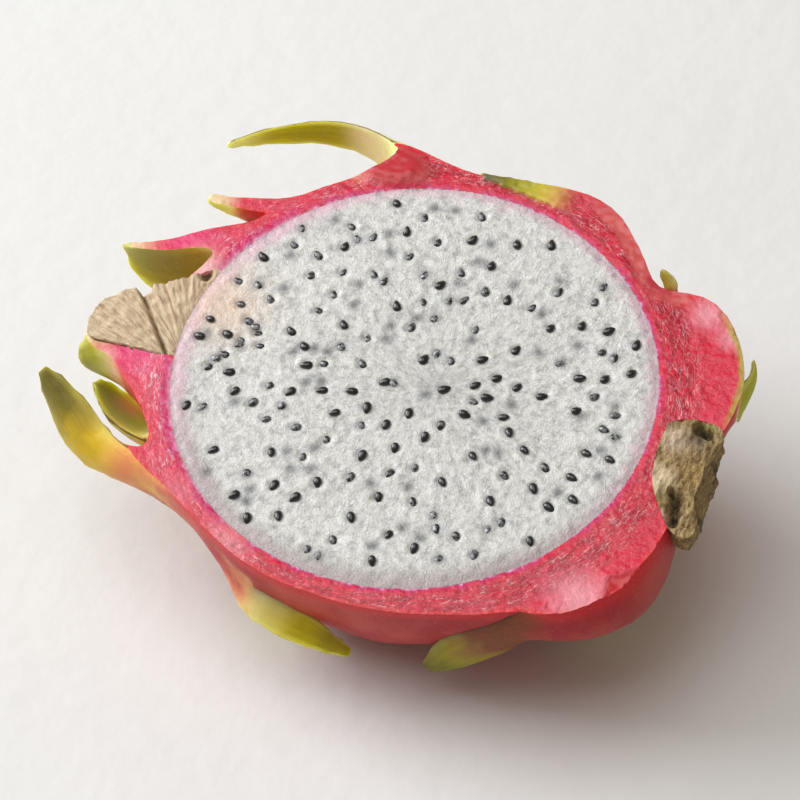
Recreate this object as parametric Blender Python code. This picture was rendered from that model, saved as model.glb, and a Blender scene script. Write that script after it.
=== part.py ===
"""Half of a white-fleshed dragon fruit, cut lengthwise, lying on its rounded back.

The fruit frame, in millimetres, has its origin in the middle of the cut face.
x runs along the fruit from the blossom end (-x) to the stem end (+x), y runs
across the cut face to the far rim, and z points out of the cut face, so that
the fruit fills z < 0. A turn is an angle about x, from +y towards +z: the far
rim is at 0, the back at -90 and the near rim at -180 degrees.

The empty "lie" carries the fruit frame to where the half lies on its surface.
"""

import math
import random

import bmesh
import bpy
from mathutils import Matrix, Vector

MM = 0.001
GAP = 0.3  # between two pieces that touch
SOCKET_GAP = 0.45  # round a plug in its socket
SHARP = math.radians(40)  # edges that turn by more than this stay sharp

# How the half lies: its cut face leans to the front, on a spot pressed flat.
LEAN = math.radians(15)
PRESSED = 1.3

# What the pieces look like: a colour and a roughness.
FINISHES = {
    "rind": ((0.80, 0.06, 0.14), 0.45),
    "flesh": ((0.86, 0.85, 0.83), 0.35),
    "seed": ((0.02, 0.02, 0.02), 0.30),
    "dried_flower": ((0.55, 0.42, 0.27), 0.85),
    "stem_stub": ((0.36, 0.27, 0.15), 0.85),
}

# The skin, as two half ellipsoids that meet in the widest ring.
WIDEST_X = 3.0
TO_BLOSSOM_END = 51.0
TO_STEM_END = 48.3
SKIN_RADIUS = 44.0
SKIN_DEPTH = 44.5
SKIN_MIDDLE_Y = 1.0

# The flesh inside it.
FLESH_MIDDLE = Vector((-0.2, 1.1, 0.0))
FLESH_RADII = Vector((42.8, 40.2, 38.6))
FLESH_TURN = Matrix.Rotation(math.radians(12), 3, "Z")

# The cage of faces that the skin is drawn on, and that scales grow from.
COLUMNS = 40
RINGS = 16
SMOOTHING = 1

# Swellings of the skin: where on it (x, turn in degrees), height and spread.
SWELLINGS = (
    ((-14.0, -9.0), 5.0, 7.0),
    ((19.0, -8.0), 8.0, 7.0),
    ((38.0, -3.0), -5.0, 3.0),
    ((43.0, -154.0), 9.0, 8.0),
    ((39.5, -175.0), 3.0, 5.0),
    ((-47.2, -170.0), 4.5, 5.0),
    ((-43.0, -3.0), -2.5, 4.0),
    ((34.0, -165.0), 3.0, 7.0),
    ((-14.0, -172.0), 2.0, 6.0),
    ((-30.0, -165.0), 2.0, 8.0),
    ((2.0, -150.0), 2.5, 10.0),
    ((48.0, -60.0), 4.0, 9.0),
)

# Where the skin is pushed aside into the lobe at the far end of the cut: the
# place on it (x, turn in degrees), the push and its spread.
LOBE = (
    ((43.2, -5.0), (0.5, 9.5, 0.0), 3.4),
    ((47.6, -6.0), (4.5, 8.0, 0.0), 3.8),
    ((50.4, -8.0), (5.0, 3.5, 0.0), 4.5),
)

# Stations along a scale, as shares of its length, and its width there as a
# share of the widest. The first sits just off the skin, the last is the tip.
STATIONS = ((0.2, 1.15), (0.5, 0.98), (0.82, 0.68), (1.0, 0.2))
TIP_THINNING = 0.45  # the share of its thickness that a scale loses by its tip
EDGE_THINNING = 0.72  # and by its edges
SIDE_SHARE = 0.45  # where along a scale its own sideways direction is reached
LOOK_AHEAD = 0.02  # the share of a spine over which its direction is taken

# The seeds that the knife laid bare.
SEED_COUNT = 135
SEED_LENGTH = 2.3
SEED_WIDTH = 1.5
SEED_SPACING = 4.1
SEED_MARGIN = 2.6
SEED_TAPER = 0.11
SEED_RAISED = 0.05
SEED_DRAW = 11
CROWD_Y = 0.5  # the seeds crowd along this line of the cut,
CROWD_SPREAD = 7.0  # within about this distance,
CROWDING = 0.45  # to this much less spacing
FAN_FLATTENED = 0.35  # seeds fan out from the middle, mostly sideways,
FAN_LOOSENESS = 0.6  # give or take this angle


class Scale:
    """One green-tipped bract. Its spine runs from its root through three points."""

    def __init__(self, x, turn, cells, spine, width, thick=2.6, cup=0.25, side=None):
        self.x = x
        self.turn = math.radians(turn)
        self.cells = cells
        self.spine = [Vector(point) for point in spine]
        self.half_width = width / 2
        self.thick = thick
        self.cup = cup
        self.side = Vector(side).normalized() if side else None


# The scales that the front view shows, from the far side round to the near.
SHOWN_SCALES = {
    "crest": Scale(
        -14, -9, 3, ((-25, 52, -6), (-37, 51.3, -6), (-50.5, 41.5, -4)), 7.5,
    ),
    "flat_far": Scale(
        20, -14, 3, ((13, 49, -9), (5, 49.5, -9), (-4, 49.5, -7)), 9,
    ),
    "far_tip": Scale(
        38, -22, 3, ((38.5, 32.5, -9), (37.5, 35.5, -7), (34.5, 36.5, -3)), 5, 2.0,
    ),
    "spur": Scale(
        -34, -9, 3, ((-38.8, 29.2, -2), (-43, 28.6, -2), (-48.5, 28.2, -1)), 6, 5.0,
    ),
    "crown_far": Scale(
        -41, 0, 7, ((-47.5, 19.6, -5.5), (-54, 16.6, -6.5), (-61.5, 17.0, -7)), 24, 4.0, 0.3,
    ),
    "crown_near": Scale(
        -46, -172, 9, ((-51, -8.2, -5.5), (-56, -6.8, -7.5), (-62, -5.6, -8)), 26, 5.4, 0.35,
    ),
    "crown_low": Scale(
        -42, -135, 5, ((-47, -16, -14), (-53, -12.5, -14), (-59, -8, -12)), 18,
    ),
    "horn": Scale(
        -38, -166, 5, ((-50, -26.5, -6.5), (-58, -20.5, -4.5), (-65.5, -13.5, -1.5)), 11,
        2.4, 0.35, (-0.66, -0.40, -0.63),
    ),
    "hook": Scale(
        -18, -168, 2, ((-15, -41.8, -13), (-7, -43.2, -15.5), (2, -44.2, -18)), 7,
        2.4, 0.35, (-0.22, -0.89, -0.40),
    ),
    "tongue": Scale(
        36, -163, 4, ((30.5, -37, -7), (24, -39.6, -12.5), (14, -40.3, -25)), 16,
        2.6, 0.25, (0.30, 0.10, -0.95),
    ),
    "collar": Scale(
        49, -20, 3, ((54, 12, -7), (56.3, 17.5, -6.5), (55, 24, -4.5)), 9, 2.0,
    ),
}

# The scales of the hidden back, in rows along the fruit: the row's turn, how
# far each scale stands off the skin at its tip, and the x of each root.
BACK_ROWS = (
    (-36, 3.0, (12, -22)),
    (-63, 3.5, (30, -4, -36)),
    (-90, 2.5, (36, -19)),
    (-117, 2.5, (42, -14)),
    (-140, 2.0, (-8, -36)),
)
BACK_LENGTH = 17.0
BACK_WIDTH = 12.0
BACK_TIP_LIMIT = -45.0
BACK_RISE = (2.0, 4.2)  # how far past its root a scale rises, and how high
BACK_ARCH = 2.0
BACK_ARCHING = 1.2

# The dried flower left at the blossom end: x, middle y, half width, depth.
FLOWER_RINGS = (
    (-39.6, 5.9, 9.4, 8.0),
    (-43.0, 4.1, 9.4, 8.0),
    (-46.5, 2.3, 7.8, 7.0),
    (-51.0, 1.3, 6.5, 6.2),
    (-56.0, 0.0, 5.6, 5.4),
    (-60.3, -2.2, 3.6, 4.2),
)
FLOWER_FOLDS = 14
FOLD_DEPTH = 0.05
PLUG_SEGMENTS = 36

# The woody stub at the stem end, and the hollow in its end face.
STUB_RINGS = (
    (44.6, 0.0, 5.5, 6.0),
    (47.5, -1.5, 8.5, 8.5),
    (51.0, -4.0, 11.6, 11.0),
    (54.0, -4.8, 11.8, 11.5),
    (55.4, -4.6, 9.6, 9.6),
    (54.6, -5.0, 7.2, 6.8),
    (53.6, -4.6, 5.2, 5.2),
)
STUB_FOLDS = 9
SOCKET_RINGS = 5  # the rings of the stub's outside, without its hollow

# Half the width, and the height, of the blocks that cut the half out.
BLOCK_REACH = 90.0
BLOCK_HEIGHT = 70.0


def nearness(point, where, spread):
    """From 1 at a place on the skin down to 0 far from it."""
    x, turn = where
    away = (point - plain_skin(x, math.radians(turn))).length
    return math.exp(-0.5 * (away / spread) ** 2)


def swollen(point, normal):
    """The point moved by the swellings and the lobe near it."""
    moved = point.copy()
    for where, height, spread in SWELLINGS:
        moved += normal * (height * nearness(point, where, spread))
    for where, push, spread in LOBE:
        moved += Vector(push) * nearness(point, where, spread)
    return moved


def plain_skin(x, turn):
    """The point of the smooth ellipsoid at this x and turn."""
    reach = TO_STEM_END if x > WIDEST_X else TO_BLOSSOM_END
    share = math.sqrt(max(0.0, 1.0 - ((x - WIDEST_X) / reach) ** 2))
    return Vector((
        x,
        SKIN_MIDDLE_Y + SKIN_RADIUS * share * math.cos(turn),
        SKIN_DEPTH * share * math.sin(turn),
    ))


def skin_normal(point):
    """The outward direction of the smooth ellipsoid at a point on it."""
    reach = TO_STEM_END if point.x > WIDEST_X else TO_BLOSSOM_END
    return Vector((
        (point.x - WIDEST_X) / reach**2,
        (point.y - SKIN_MIDDLE_Y) / SKIN_RADIUS**2,
        point.z / SKIN_DEPTH**2,
    )).normalized()


def skin(x, turn):
    """The skin's point at this x and turn, swellings included."""
    point = plain_skin(x, turn)
    return swollen(point, skin_normal(point))


def along(points, share):
    """The point at this share of the smooth curve through evenly set points."""
    last = len(points) - 1
    found = Vector((0.0, 0.0, 0.0))
    for index, point in enumerate(points):
        weight = 1.0
        for other in range(len(points)):
            if other != index:
                weight *= (share * last - other) / (index - other)
        found += point * weight
    return found


def scale_section(scale, share, width_share):
    """Rows of points across a scale: its inner face, then its outer face."""
    root = skin(scale.x, scale.turn)
    spine = [root, *scale.spine]
    middle = along(spine, share)
    ahead = along(spine, min(1.0, share + LOOK_AHEAD)) - along(spine, share - LOOK_AHEAD)
    ahead.normalize()
    side = Vector((0.0, -math.sin(scale.turn), math.cos(scale.turn)))
    if scale.side:
        side = side.lerp(scale.side, min(1.0, share / SIDE_SHARE))
    side = (side - ahead * side.dot(ahead)).normalized()
    outer = ahead.cross(side)
    half = scale.half_width * width_share
    thick = scale.thick * (1.0 - TIP_THINNING * share)
    rows = ([], [])
    for step in range(scale.cells + 1):
        across = 2.0 * step / scale.cells - 1.0
        belly = 1.0 - EDGE_THINNING * across**2
        base = middle + side * (half * across) - outer * (scale.cup * half * across**2)
        rows[0].append(base - outer * (0.5 * thick * belly))
        rows[1].append(base + outer * (0.5 * thick * belly))
    return rows


def extrude(bm, faces, keep=False):
    """Extrudes faces in place and returns the new verts and faces."""
    grown = bmesh.ops.extrude_face_region(bm, geom=faces)["geom"]
    if not keep:
        bmesh.ops.delete(bm, geom=faces, context="FACES")
    verts = [g for g in grown if isinstance(g, bmesh.types.BMVert)]
    return verts, [g for g in grown if isinstance(g, bmesh.types.BMFace)]


def grow_scale(bm, vert_at, scale):
    """Extrudes a scale out of the skin's cage, one station at a time."""
    reach = TO_STEM_END if scale.x > WIDEST_X else TO_BLOSSOM_END
    polar = math.acos((scale.x - WIDEST_X) / reach)
    ring = int(polar / (math.pi / RINGS))
    first = round(scale.turn / (math.tau / COLUMNS) - scale.cells / 2 - 0.5)
    columns = [(first + k) % COLUMNS for k in range(scale.cells + 1)]
    label = {}
    for k, column in enumerate(columns):
        label[vert_at[ring + 1, column]] = (0, k)
        label[vert_at[ring, column]] = (1, k)
    faces = [
        face
        for face in bm.faces
        if len(face.verts) == 4 and all(v in label for v in face.verts)
    ]
    for share, width_share in STATIONS:
        rows = scale_section(scale, share, width_share)
        place = {tuple(v.co): key for v, key in label.items()}
        verts, faces = extrude(bm, faces)
        label = {vert: place[tuple(vert.co)] for vert in verts}
        for vert, (row, k) in label.items():
            vert.co = rows[row][k]


def back_scales():
    """The scales of the hidden back, each lying along the skin below it."""
    found = {}
    for row, (turn, stand, roots) in enumerate(BACK_ROWS):
        angle = math.radians(turn)
        for place, x in enumerate(roots):
            past_root, rise = BACK_RISE
            tip_x = max(x - BACK_LENGTH, BACK_TIP_LIMIT)
            arch = BACK_ARCH + BACK_ARCHING * stand
            spine = []
            for at, off in ((x - past_root, rise), ((x + tip_x) / 2, arch), (tip_x, stand)):
                point = skin(at, angle)
                spine.append(point + skin_normal(plain_skin(at, angle)) * off)
            found[f"back_{row}_{place}"] = Scale(x, turn, 3, spine, BACK_WIDTH)
    return found


def sphere_cage():
    """A unit sphere of quads with its poles on the x axis.

    Its lengthwise lines lie half a step off the plane of the cut.
    """
    bm = bmesh.new()
    bmesh.ops.create_uvsphere(bm, u_segments=COLUMNS, v_segments=RINGS, radius=1.0)
    half_step = Matrix.Rotation(math.pi / COLUMNS, 3, "Z")
    upright = Matrix.Rotation(math.pi / 2, 3, "Y")
    bmesh.ops.rotate(bm, verts=bm.verts, matrix=upright @ half_step)
    return bm


def new_object(name, bm, parent):
    """A piece in metres with its own finish, or a hidden shape to cut with."""
    bmesh.ops.scale(bm, vec=(MM, MM, MM), verts=bm.verts)
    bmesh.ops.recalc_face_normals(bm, faces=bm.faces)
    mesh = bpy.data.meshes.new(name)
    bm.to_mesh(mesh)
    bm.free()
    thing = bpy.data.objects.new(name, mesh)
    bpy.context.scene.collection.objects.link(thing)
    thing.parent = parent
    if name in FINISHES:
        colour, roughness = FINISHES[name]
        material = bpy.data.materials.new(name)
        material.use_nodes = True
        shader = material.node_tree.nodes["Principled BSDF"]
        shader.inputs["Base Color"].default_value = (*colour, 1.0)
        shader.inputs["Roughness"].default_value = roughness
        mesh.materials.append(material)
    else:
        thing.hide_render = True
        thing.display_type = "WIRE"
    return thing


def smooth(thing, levels):
    """Subdivides a cage into its rounded surface."""
    modifier = thing.modifiers.new("smooth", "SUBSURF")
    modifier.levels = levels
    modifier.render_levels = levels


def cut(thing, cutter, solver="EXACT"):
    """Takes the cutter's volume out of a piece."""
    modifier = thing.modifiers.new("cut_" + cutter.name, "BOOLEAN")
    modifier.operation = "DIFFERENCE"
    modifier.solver = solver
    modifier.object = cutter


def settle(node):
    """Keeps the cut shape as the node's own mesh, smooth up to its sharp edges."""
    bpy.context.view_layer.update()
    graph = bpy.context.evaluated_depsgraph_get()
    node.data = bpy.data.meshes.new_from_object(node.evaluated_get(graph))
    node.modifiers.clear()
    node.data.shade_smooth()
    node.data.set_sharp_from_angle(angle=SHARP)


def make_rind(parent):
    """The red skin with every scale grown out of it, as one body."""
    bm = sphere_cage()
    vert_at = {}
    for vert in bm.verts:
        polar = math.acos(max(-1.0, min(1.0, vert.co.x)))
        turn = math.atan2(vert.co.z, vert.co.y)
        line = round(polar / (math.pi / RINGS))
        column = round(turn / (math.tau / COLUMNS) - 0.5) % COLUMNS
        vert_at[line, column] = vert
        reach = TO_STEM_END if vert.co.x > 0 else TO_BLOSSOM_END
        vert.co = skin(WIDEST_X + reach * vert.co.x, turn)
    for scale in [*SHOWN_SCALES.values(), *back_scales().values()]:
        grow_scale(bm, vert_at, scale)
    rind = new_object("rind", bm, parent)
    smooth(rind, SMOOTHING)
    return rind


def flesh_shape(name, parent, wider=0.0):
    """The flesh's ellipsoid, grown all round by a gap where it is a cutter."""
    bm = sphere_cage()
    radii = FLESH_RADII + Vector((wider, wider, wider))
    bmesh.ops.scale(bm, vec=radii, verts=bm.verts)
    bmesh.ops.rotate(bm, verts=bm.verts, matrix=FLESH_TURN)
    bmesh.ops.translate(bm, vec=FLESH_MIDDLE, verts=bm.verts)
    return new_object(name, bm, parent)


def seed_places():
    """Seeds by seeded dart throwing, closer together along the fruit's axis."""
    draw = random.Random(SEED_DRAW)
    places = []
    while len(places) < SEED_COUNT:
        angle = draw.uniform(0.0, math.tau)
        reach = math.sqrt(draw.random())
        place = Vector((
            reach * math.cos(angle) * (FLESH_RADII.x - SEED_MARGIN),
            reach * math.sin(angle) * (FLESH_RADII.y - SEED_MARGIN),
            0.0,
        ))
        x, y, _ = FLESH_TURN @ place + FLESH_MIDDLE
        near_axis = math.exp(-((y - CROWD_Y) / CROWD_SPREAD) ** 2)
        spacing = SEED_SPACING * (1.0 - CROWDING * near_axis)
        if all(math.hypot(x - p, y - q) > spacing for p, q, _ in places):
            loose = draw.uniform(-FAN_LOOSENESS, FAN_LOOSENESS)
            places.append((x, y, math.atan2(y, FAN_FLATTENED * x) + loose))
    return places


def make_flesh(parent, knife):
    """The white flesh, cut flat, with the seeds standing out of the cut."""
    flesh = flesh_shape("flesh", parent)
    cut(flesh, knife, "MANIFOLD")
    seeds = bpy.data.collections.new("seeds")
    bpy.context.scene.collection.children.link(seeds)
    for x, y, heading in seed_places():
        bm = bmesh.new()
        bmesh.ops.create_icosphere(bm, subdivisions=1, radius=0.5)
        size = (SEED_LENGTH, SEED_WIDTH, SEED_WIDTH)
        bmesh.ops.scale(bm, vec=size, verts=bm.verts)
        for vert in bm.verts:
            vert.co.y *= 1.0 - SEED_TAPER * vert.co.x
        turned = Matrix.Rotation(heading, 3, "Z")
        bmesh.ops.rotate(bm, verts=bm.verts, matrix=turned)
        bmesh.ops.translate(bm, vec=(x, y, SEED_RAISED), verts=bm.verts)
        seed = new_object("seed", bm, parent)
        bpy.context.scene.collection.objects.unlink(seed)
        seeds.objects.link(seed)
    union = flesh.modifiers.new("seeds", "BOOLEAN")
    union.operation = "UNION"
    union.solver = "MANIFOLD"
    union.operand_type = "COLLECTION"
    union.collection = seeds
    settle(flesh)
    for seed in list(seeds.objects):
        bpy.data.objects.remove(seed)
    bpy.data.collections.remove(seeds)
    return flesh


def folded_plug(name, parent, rings, folds, wider=0.0):
    """A plug along x, extruded ring by ring, with lengthwise folds."""
    bm = bmesh.new()
    bmesh.ops.create_circle(bm, cap_ends=True, segments=PLUG_SEGMENTS, radius=1.0)
    half_step = Matrix.Rotation(math.pi / PLUG_SEGMENTS, 3, "Z")
    upright = Matrix.Rotation(math.pi / 2, 3, "Y")
    bmesh.ops.rotate(bm, verts=bm.verts, matrix=upright @ half_step)
    turns = {vert: math.atan2(vert.co.z, vert.co.y) for vert in bm.verts}
    faces = list(bm.faces)
    for index, (x, middle_y, half, depth) in enumerate(rings):
        if index:
            turn_at = {tuple(vert.co): turn for vert, turn in turns.items()}
            verts, faces = extrude(bm, faces, index == 1)
            turns = {vert: turn_at[tuple(vert.co)] for vert in verts}
        away = {0: -wider, len(rings) - 1: wider}.get(index, 0.0)
        for vert, turn in turns.items():
            fold = 1.0 + FOLD_DEPTH * math.sin(folds * turn)
            vert.co = Vector((
                x + math.copysign(1.0, x) * away,
                middle_y + (half * fold + wider) * math.cos(turn),
                (depth * fold + wider) * math.sin(turn),
            ))
    return new_object(name, bm, parent)


def block(name, parent, middle_z):
    """A wide block to cut with."""
    bm = bmesh.new()
    bmesh.ops.create_cube(bm, size=1.0)
    size = (2 * BLOCK_REACH, 2 * BLOCK_REACH, BLOCK_HEIGHT)
    bmesh.ops.scale(bm, vec=size, verts=bm.verts)
    bmesh.ops.translate(bm, vec=(0.0, 0.0, middle_z), verts=bm.verts)
    return new_object(name, bm, parent)


def lowest_skin():
    """How far the plain skin's lowest point lies below the fruit frame."""
    radius = math.hypot(SKIN_RADIUS * math.sin(LEAN), SKIN_DEPTH * math.cos(LEAN))
    return radius - SKIN_MIDDLE_Y * math.sin(LEAN)


def centre(lie, nodes):
    """Slides the fruit until its box is centred over the origin."""
    points = [node.matrix_world @ vert.co for node in nodes for vert in node.data.vertices]
    for axis in (0, 1):
        low = min(point[axis] for point in points)
        high = max(point[axis] for point in points)
        lie.location[axis] -= (low + high) / 2


def main():
    for thing in list(bpy.data.objects):
        bpy.data.objects.remove(thing)
    lie = bpy.data.objects.new("lie", None)
    bpy.context.scene.collection.objects.link(lie)
    lie.rotation_euler = (LEAN, 0.0, 0.0)
    lie.location = (0.0, 0.0, (lowest_skin() - PRESSED) * MM)
    bpy.context.view_layer.update()

    knife = block("knife", lie, BLOCK_HEIGHT / 2)
    table = block("table", None, -BLOCK_HEIGHT / 2)
    flesh_room = flesh_shape("flesh_room", lie, GAP)
    flower_room = folded_plug("flower_room", lie, FLOWER_RINGS, FLOWER_FOLDS, SOCKET_GAP)
    socket = STUB_RINGS[:SOCKET_RINGS]
    stub_room = folded_plug("stub_room", lie, socket, STUB_FOLDS, SOCKET_GAP)

    rind = make_rind(lie)
    for cutter in (knife, flesh_room, flower_room, stub_room, table):
        cut(rind, cutter, "MANIFOLD")
    settle(rind)
    flesh = make_flesh(lie, knife)
    flower = folded_plug("dried_flower", lie, FLOWER_RINGS, FLOWER_FOLDS)
    cut(flower, knife)
    cut(flower, flesh_room)
    settle(flower)
    stub = folded_plug("stem_stub", lie, STUB_RINGS, STUB_FOLDS)
    cut(stub, knife)
    settle(stub)
    centre(lie, (rind, flesh, flower, stub))


main()
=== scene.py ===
# %% [markdown]
# # Half a dragon fruit
#
# The fruit is cut lengthwise and lies on its back, with the white flesh up. The
# measured model is loaded first and never moved. Every piece made below stands
# for one of its nodes, keeps that node's form and adds what the eye is after:
# wet pulp, glinting rind, thin scales and a dry, cracked flower.

# %% Load the measured model
import math
import random

import bmesh
import bpy
from mathutils import Matrix, Vector, interpolate, noise
from mathutils.bvhtree import BVHTree


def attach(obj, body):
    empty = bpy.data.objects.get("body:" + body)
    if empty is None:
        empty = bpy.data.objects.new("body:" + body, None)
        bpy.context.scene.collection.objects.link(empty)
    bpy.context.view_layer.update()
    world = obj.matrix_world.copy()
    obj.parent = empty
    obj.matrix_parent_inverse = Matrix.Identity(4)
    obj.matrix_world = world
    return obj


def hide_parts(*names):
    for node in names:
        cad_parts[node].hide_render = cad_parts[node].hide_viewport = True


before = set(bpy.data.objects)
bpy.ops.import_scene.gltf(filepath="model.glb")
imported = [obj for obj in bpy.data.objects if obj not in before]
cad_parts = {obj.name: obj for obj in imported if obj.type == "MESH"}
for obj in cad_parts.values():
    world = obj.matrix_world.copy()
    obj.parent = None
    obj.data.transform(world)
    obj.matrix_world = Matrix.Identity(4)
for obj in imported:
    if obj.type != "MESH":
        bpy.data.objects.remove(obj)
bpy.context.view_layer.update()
print("nodes:", sorted(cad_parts))

# %% [markdown]
# ## The fruit's own frame
#
# The cut face leans 15 degrees to the front. It is far easier to think in a frame
# that lies in the cut face: x from the blossom end to the stem end, y across to
# the far rim, z out of the cut, all in millimetres. Pieces are built there, and
# one matrix carries each finished mesh to where the measured model has it, so
# that every object stays at the origin, unturned and unscaled.

# %% From millimetres in the fruit to metres in the world
MM = 0.001
LEAN = math.radians(15)
LIE_AT = Vector((4.645, -5.307, 42.908))
TO_WORLD = (
    Matrix.Scale(MM, 4)
    @ Matrix.Translation(LIE_AT)
    @ Matrix.Rotation(LEAN, 4, "X")
)
TO_FRUIT = TO_WORLD.inverted()
print("cut face's middle, mm:", [round(v / MM, 1) for v in TO_WORLD @ Vector()])

# %% [markdown]
# ## The fruit's outline in numbers
#
# These are the driving sizes of the measured model, repeated by name. The skin is
# two half ellipsoids that meet in the widest ring, with a swelling behind each
# large scale. The flesh is an ellipsoid inside it.

# %% Sizes of the skin and the flesh
WIDEST_X = 3.0
TO_BLOSSOM_END = 51.0
TO_STEM_END = 48.3
SKIN_RADIUS = 44.0
SKIN_DEPTH = 44.5
SKIN_MIDDLE_Y = 1.0

FLESH_MIDDLE = Vector((-0.2, 1.1, 0.0))
FLESH_RADII = Vector((42.8, 40.2, 38.6))
FLESH_MEAN_RADIUS = 41.5
FLESH_TURN = Matrix.Rotation(math.radians(12), 3, "Z")
FLESH_GROWN = 0.3

COLUMNS = 40
RINGS = 16
COLUMN_STEP = math.tau / COLUMNS
RING_STEP = math.pi / RINGS

# Where on the skin (x, turn in degrees), the height and the spread.
SWELLINGS = (
    ((-14.0, -9.0), 5.0, 7.0),
    ((19.0, -8.0), 8.0, 7.0),
    ((38.0, -3.0), -5.0, 3.0),
    ((43.0, -154.0), 9.0, 8.0),
    ((39.5, -175.0), 3.0, 5.0),
    ((-47.2, -170.0), 4.5, 5.0),
    ((-43.0, -3.0), -2.5, 4.0),
    ((34.0, -165.0), 3.0, 7.0),
    ((-14.0, -172.0), 2.0, 6.0),
    ((-30.0, -165.0), 2.0, 8.0),
    ((2.0, -150.0), 2.5, 10.0),
    ((48.0, -60.0), 4.0, 9.0),
)

# Where on the skin, the push sideways into the far lobe, and its spread.
LOBE = (
    ((43.2, -5.0), (0.5, 9.5, 0.0), 3.4),
    ((47.6, -6.0), (4.5, 8.0, 0.0), 3.8),
    ((50.4, -8.0), (5.0, 3.5, 0.0), 4.5),
)

# %% Where the skin is
def reach_at(x):
    """The skin's half length on this side of its widest ring."""
    return TO_STEM_END if x > WIDEST_X else TO_BLOSSOM_END


def plain_skin(x, turn):
    """The point of the smooth ellipsoid at this x and turn."""
    share = math.sqrt(max(0.0, 1.0 - ((x - WIDEST_X) / reach_at(x)) ** 2))
    return Vector((
        x,
        SKIN_MIDDLE_Y + SKIN_RADIUS * share * math.cos(turn),
        SKIN_DEPTH * share * math.sin(turn),
    ))


def skin_normal(point):
    """The outward direction of the smooth ellipsoid at a point on it."""
    return Vector((
        (point.x - WIDEST_X) / reach_at(point.x) ** 2,
        (point.y - SKIN_MIDDLE_Y) / SKIN_RADIUS**2,
        point.z / SKIN_DEPTH**2,
    )).normalized()


def nearness(point, where, spread):
    """From 1 at a place on the skin down to 0 far from it."""
    x, turn = where
    away = (point - plain_skin(x, math.radians(turn))).length
    return math.exp(-0.5 * (away / spread) ** 2)


def skin(x, turn):
    """The skin's point at this x and turn, swellings and lobe included."""
    point = plain_skin(x, turn)
    moved = point.copy()
    for where, height, spread in SWELLINGS:
        moved += skin_normal(point) * (height * nearness(point, where, spread))
    for where, push, spread in LOBE:
        moved += Vector(push) * nearness(point, where, spread)
    return moved


print("widest ring, mm:", round(2 * SKIN_RADIUS, 1), "deep:", round(SKIN_DEPTH, 1))

# %% [markdown]
# ## The scales
#
# A dragon fruit's scales are bracts that grow out of the skin and point to the
# blossom end. Each one here has a root on the skin, three points that its spine
# runs through, a width, and the share of its length where pink turns to green.
# The named ones are those the photo shows. The hidden back gets rows of plain
# ones, so that the half looks whole from every side.

# %% One scale, and the scales that show
class Scale:
    """One green-tipped bract. Its spine runs from its root through three points."""

    def __init__(self, x, turn, cells, spine, width, thick=2.6, cup=0.25, side=None,
                 green=0.45, gold=0.2, olive=0.6, ruddy=0.0):
        self.x = x
        self.turn = math.radians(turn)
        self.cells = cells
        self.spine = [Vector(point) for point in spine]
        self.half_width = width / 2
        self.thick = thick
        self.cup = cup
        self.side = Vector(side).normalized() if side else None
        self.tints = {"green": green, "gold": gold, "olive": olive, "ruddy": ruddy}


SHOWN_SCALES = {
    "crest": Scale(
        -14, -9, 3, ((-25, 52, -6), (-37, 51.3, -6), (-50.5, 41.5, -4)), 7.5,
        green=0.12, gold=0.0, olive=0.05,
    ),
    "flat_far": Scale(
        20, -14, 3, ((13, 49, -9), (5, 49.5, -9), (-4, 49.5, -7)), 9, green=0.3,
    ),
    "far_tip": Scale(
        38, -22, 3, ((38.5, 32.5, -9), (37.5, 35.5, -7), (34.5, 36.5, -3)), 5, 2.0,
        green=0.95, olive=0.9,
    ),
    "spur": Scale(
        -34, -9, 3, ((-38.8, 29.2, -2), (-43, 28.6, -2), (-48.5, 28.2, -1)), 6, 5.0,
        green=0.85, olive=0.3,
    ),
    "crown_far": Scale(
        -41, 0, 7, ((-47.5, 19.6, -5.5), (-54, 16.6, -6.5), (-61.5, 17.0, -7)), 24, 4.0, 0.3,
        green=0.12, gold=0.4, olive=0.15,
    ),
    "crown_near": Scale(
        -46, -172, 9, ((-51, -8.2, -5.5), (-56, -6.8, -7.5), (-62, -5.6, -8)), 26, 5.4, 0.35,
        green=0.45, gold=0.3, olive=0.45,
    ),
    "crown_low": Scale(
        -42, -135, 5, ((-47, -16, -14), (-53, -12.5, -14), (-59, -8, -12)), 18,
        green=0.15, gold=0.2, olive=0.35,
    ),
    "horn": Scale(
        -38, -166, 5, ((-50, -26.5, -6.5), (-58, -20.5, -4.5), (-65.5, -13.5, -1.5)), 11,
        2.4, 0.35, (-0.66, -0.40, -0.63), green=0.30, gold=1.0, olive=0.9,
    ),
    "hook": Scale(
        -18, -168, 2, ((-15, -41.8, -13), (-7, -43.2, -15.5), (2, -44.2, -18)), 7,
        2.4, 0.35, (-0.22, -0.89, -0.40), green=0.42, gold=0.4, olive=0.6,
    ),
    "tongue": Scale(
        36, -163, 4, ((30.5, -37, -7), (24, -39.6, -12.5), (14, -40.3, -25)), 16,
        2.6, 0.25, (0.30, 0.10, -0.95), green=0.50, gold=0.3, olive=1.0, ruddy=1.0,
    ),
    "collar": Scale(
        49, -20, 3, ((54, 12, -7), (56.3, 17.5, -6.5), (55, 24, -4.5)), 9, 2.0,
        green=0.15, gold=0.0, olive=0.1,
    ),
}

# %% The rows of scales on the hidden back
BACK_ROWS = (
    (-36, 3.0, (12, -22)),
    (-63, 3.5, (30, -4, -36)),
    (-90, 2.5, (36, -19)),
    (-117, 2.5, (42, -14)),
    (-140, 2.0, (-8, -36)),
)
BACK_LENGTH = 17.0
BACK_WIDTH = 12.0
BACK_TIP_LIMIT = -45.0
BACK_RISE = (2.0, 4.2)
BACK_ARCH = 2.0
BACK_ARCHING = 1.2


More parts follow.
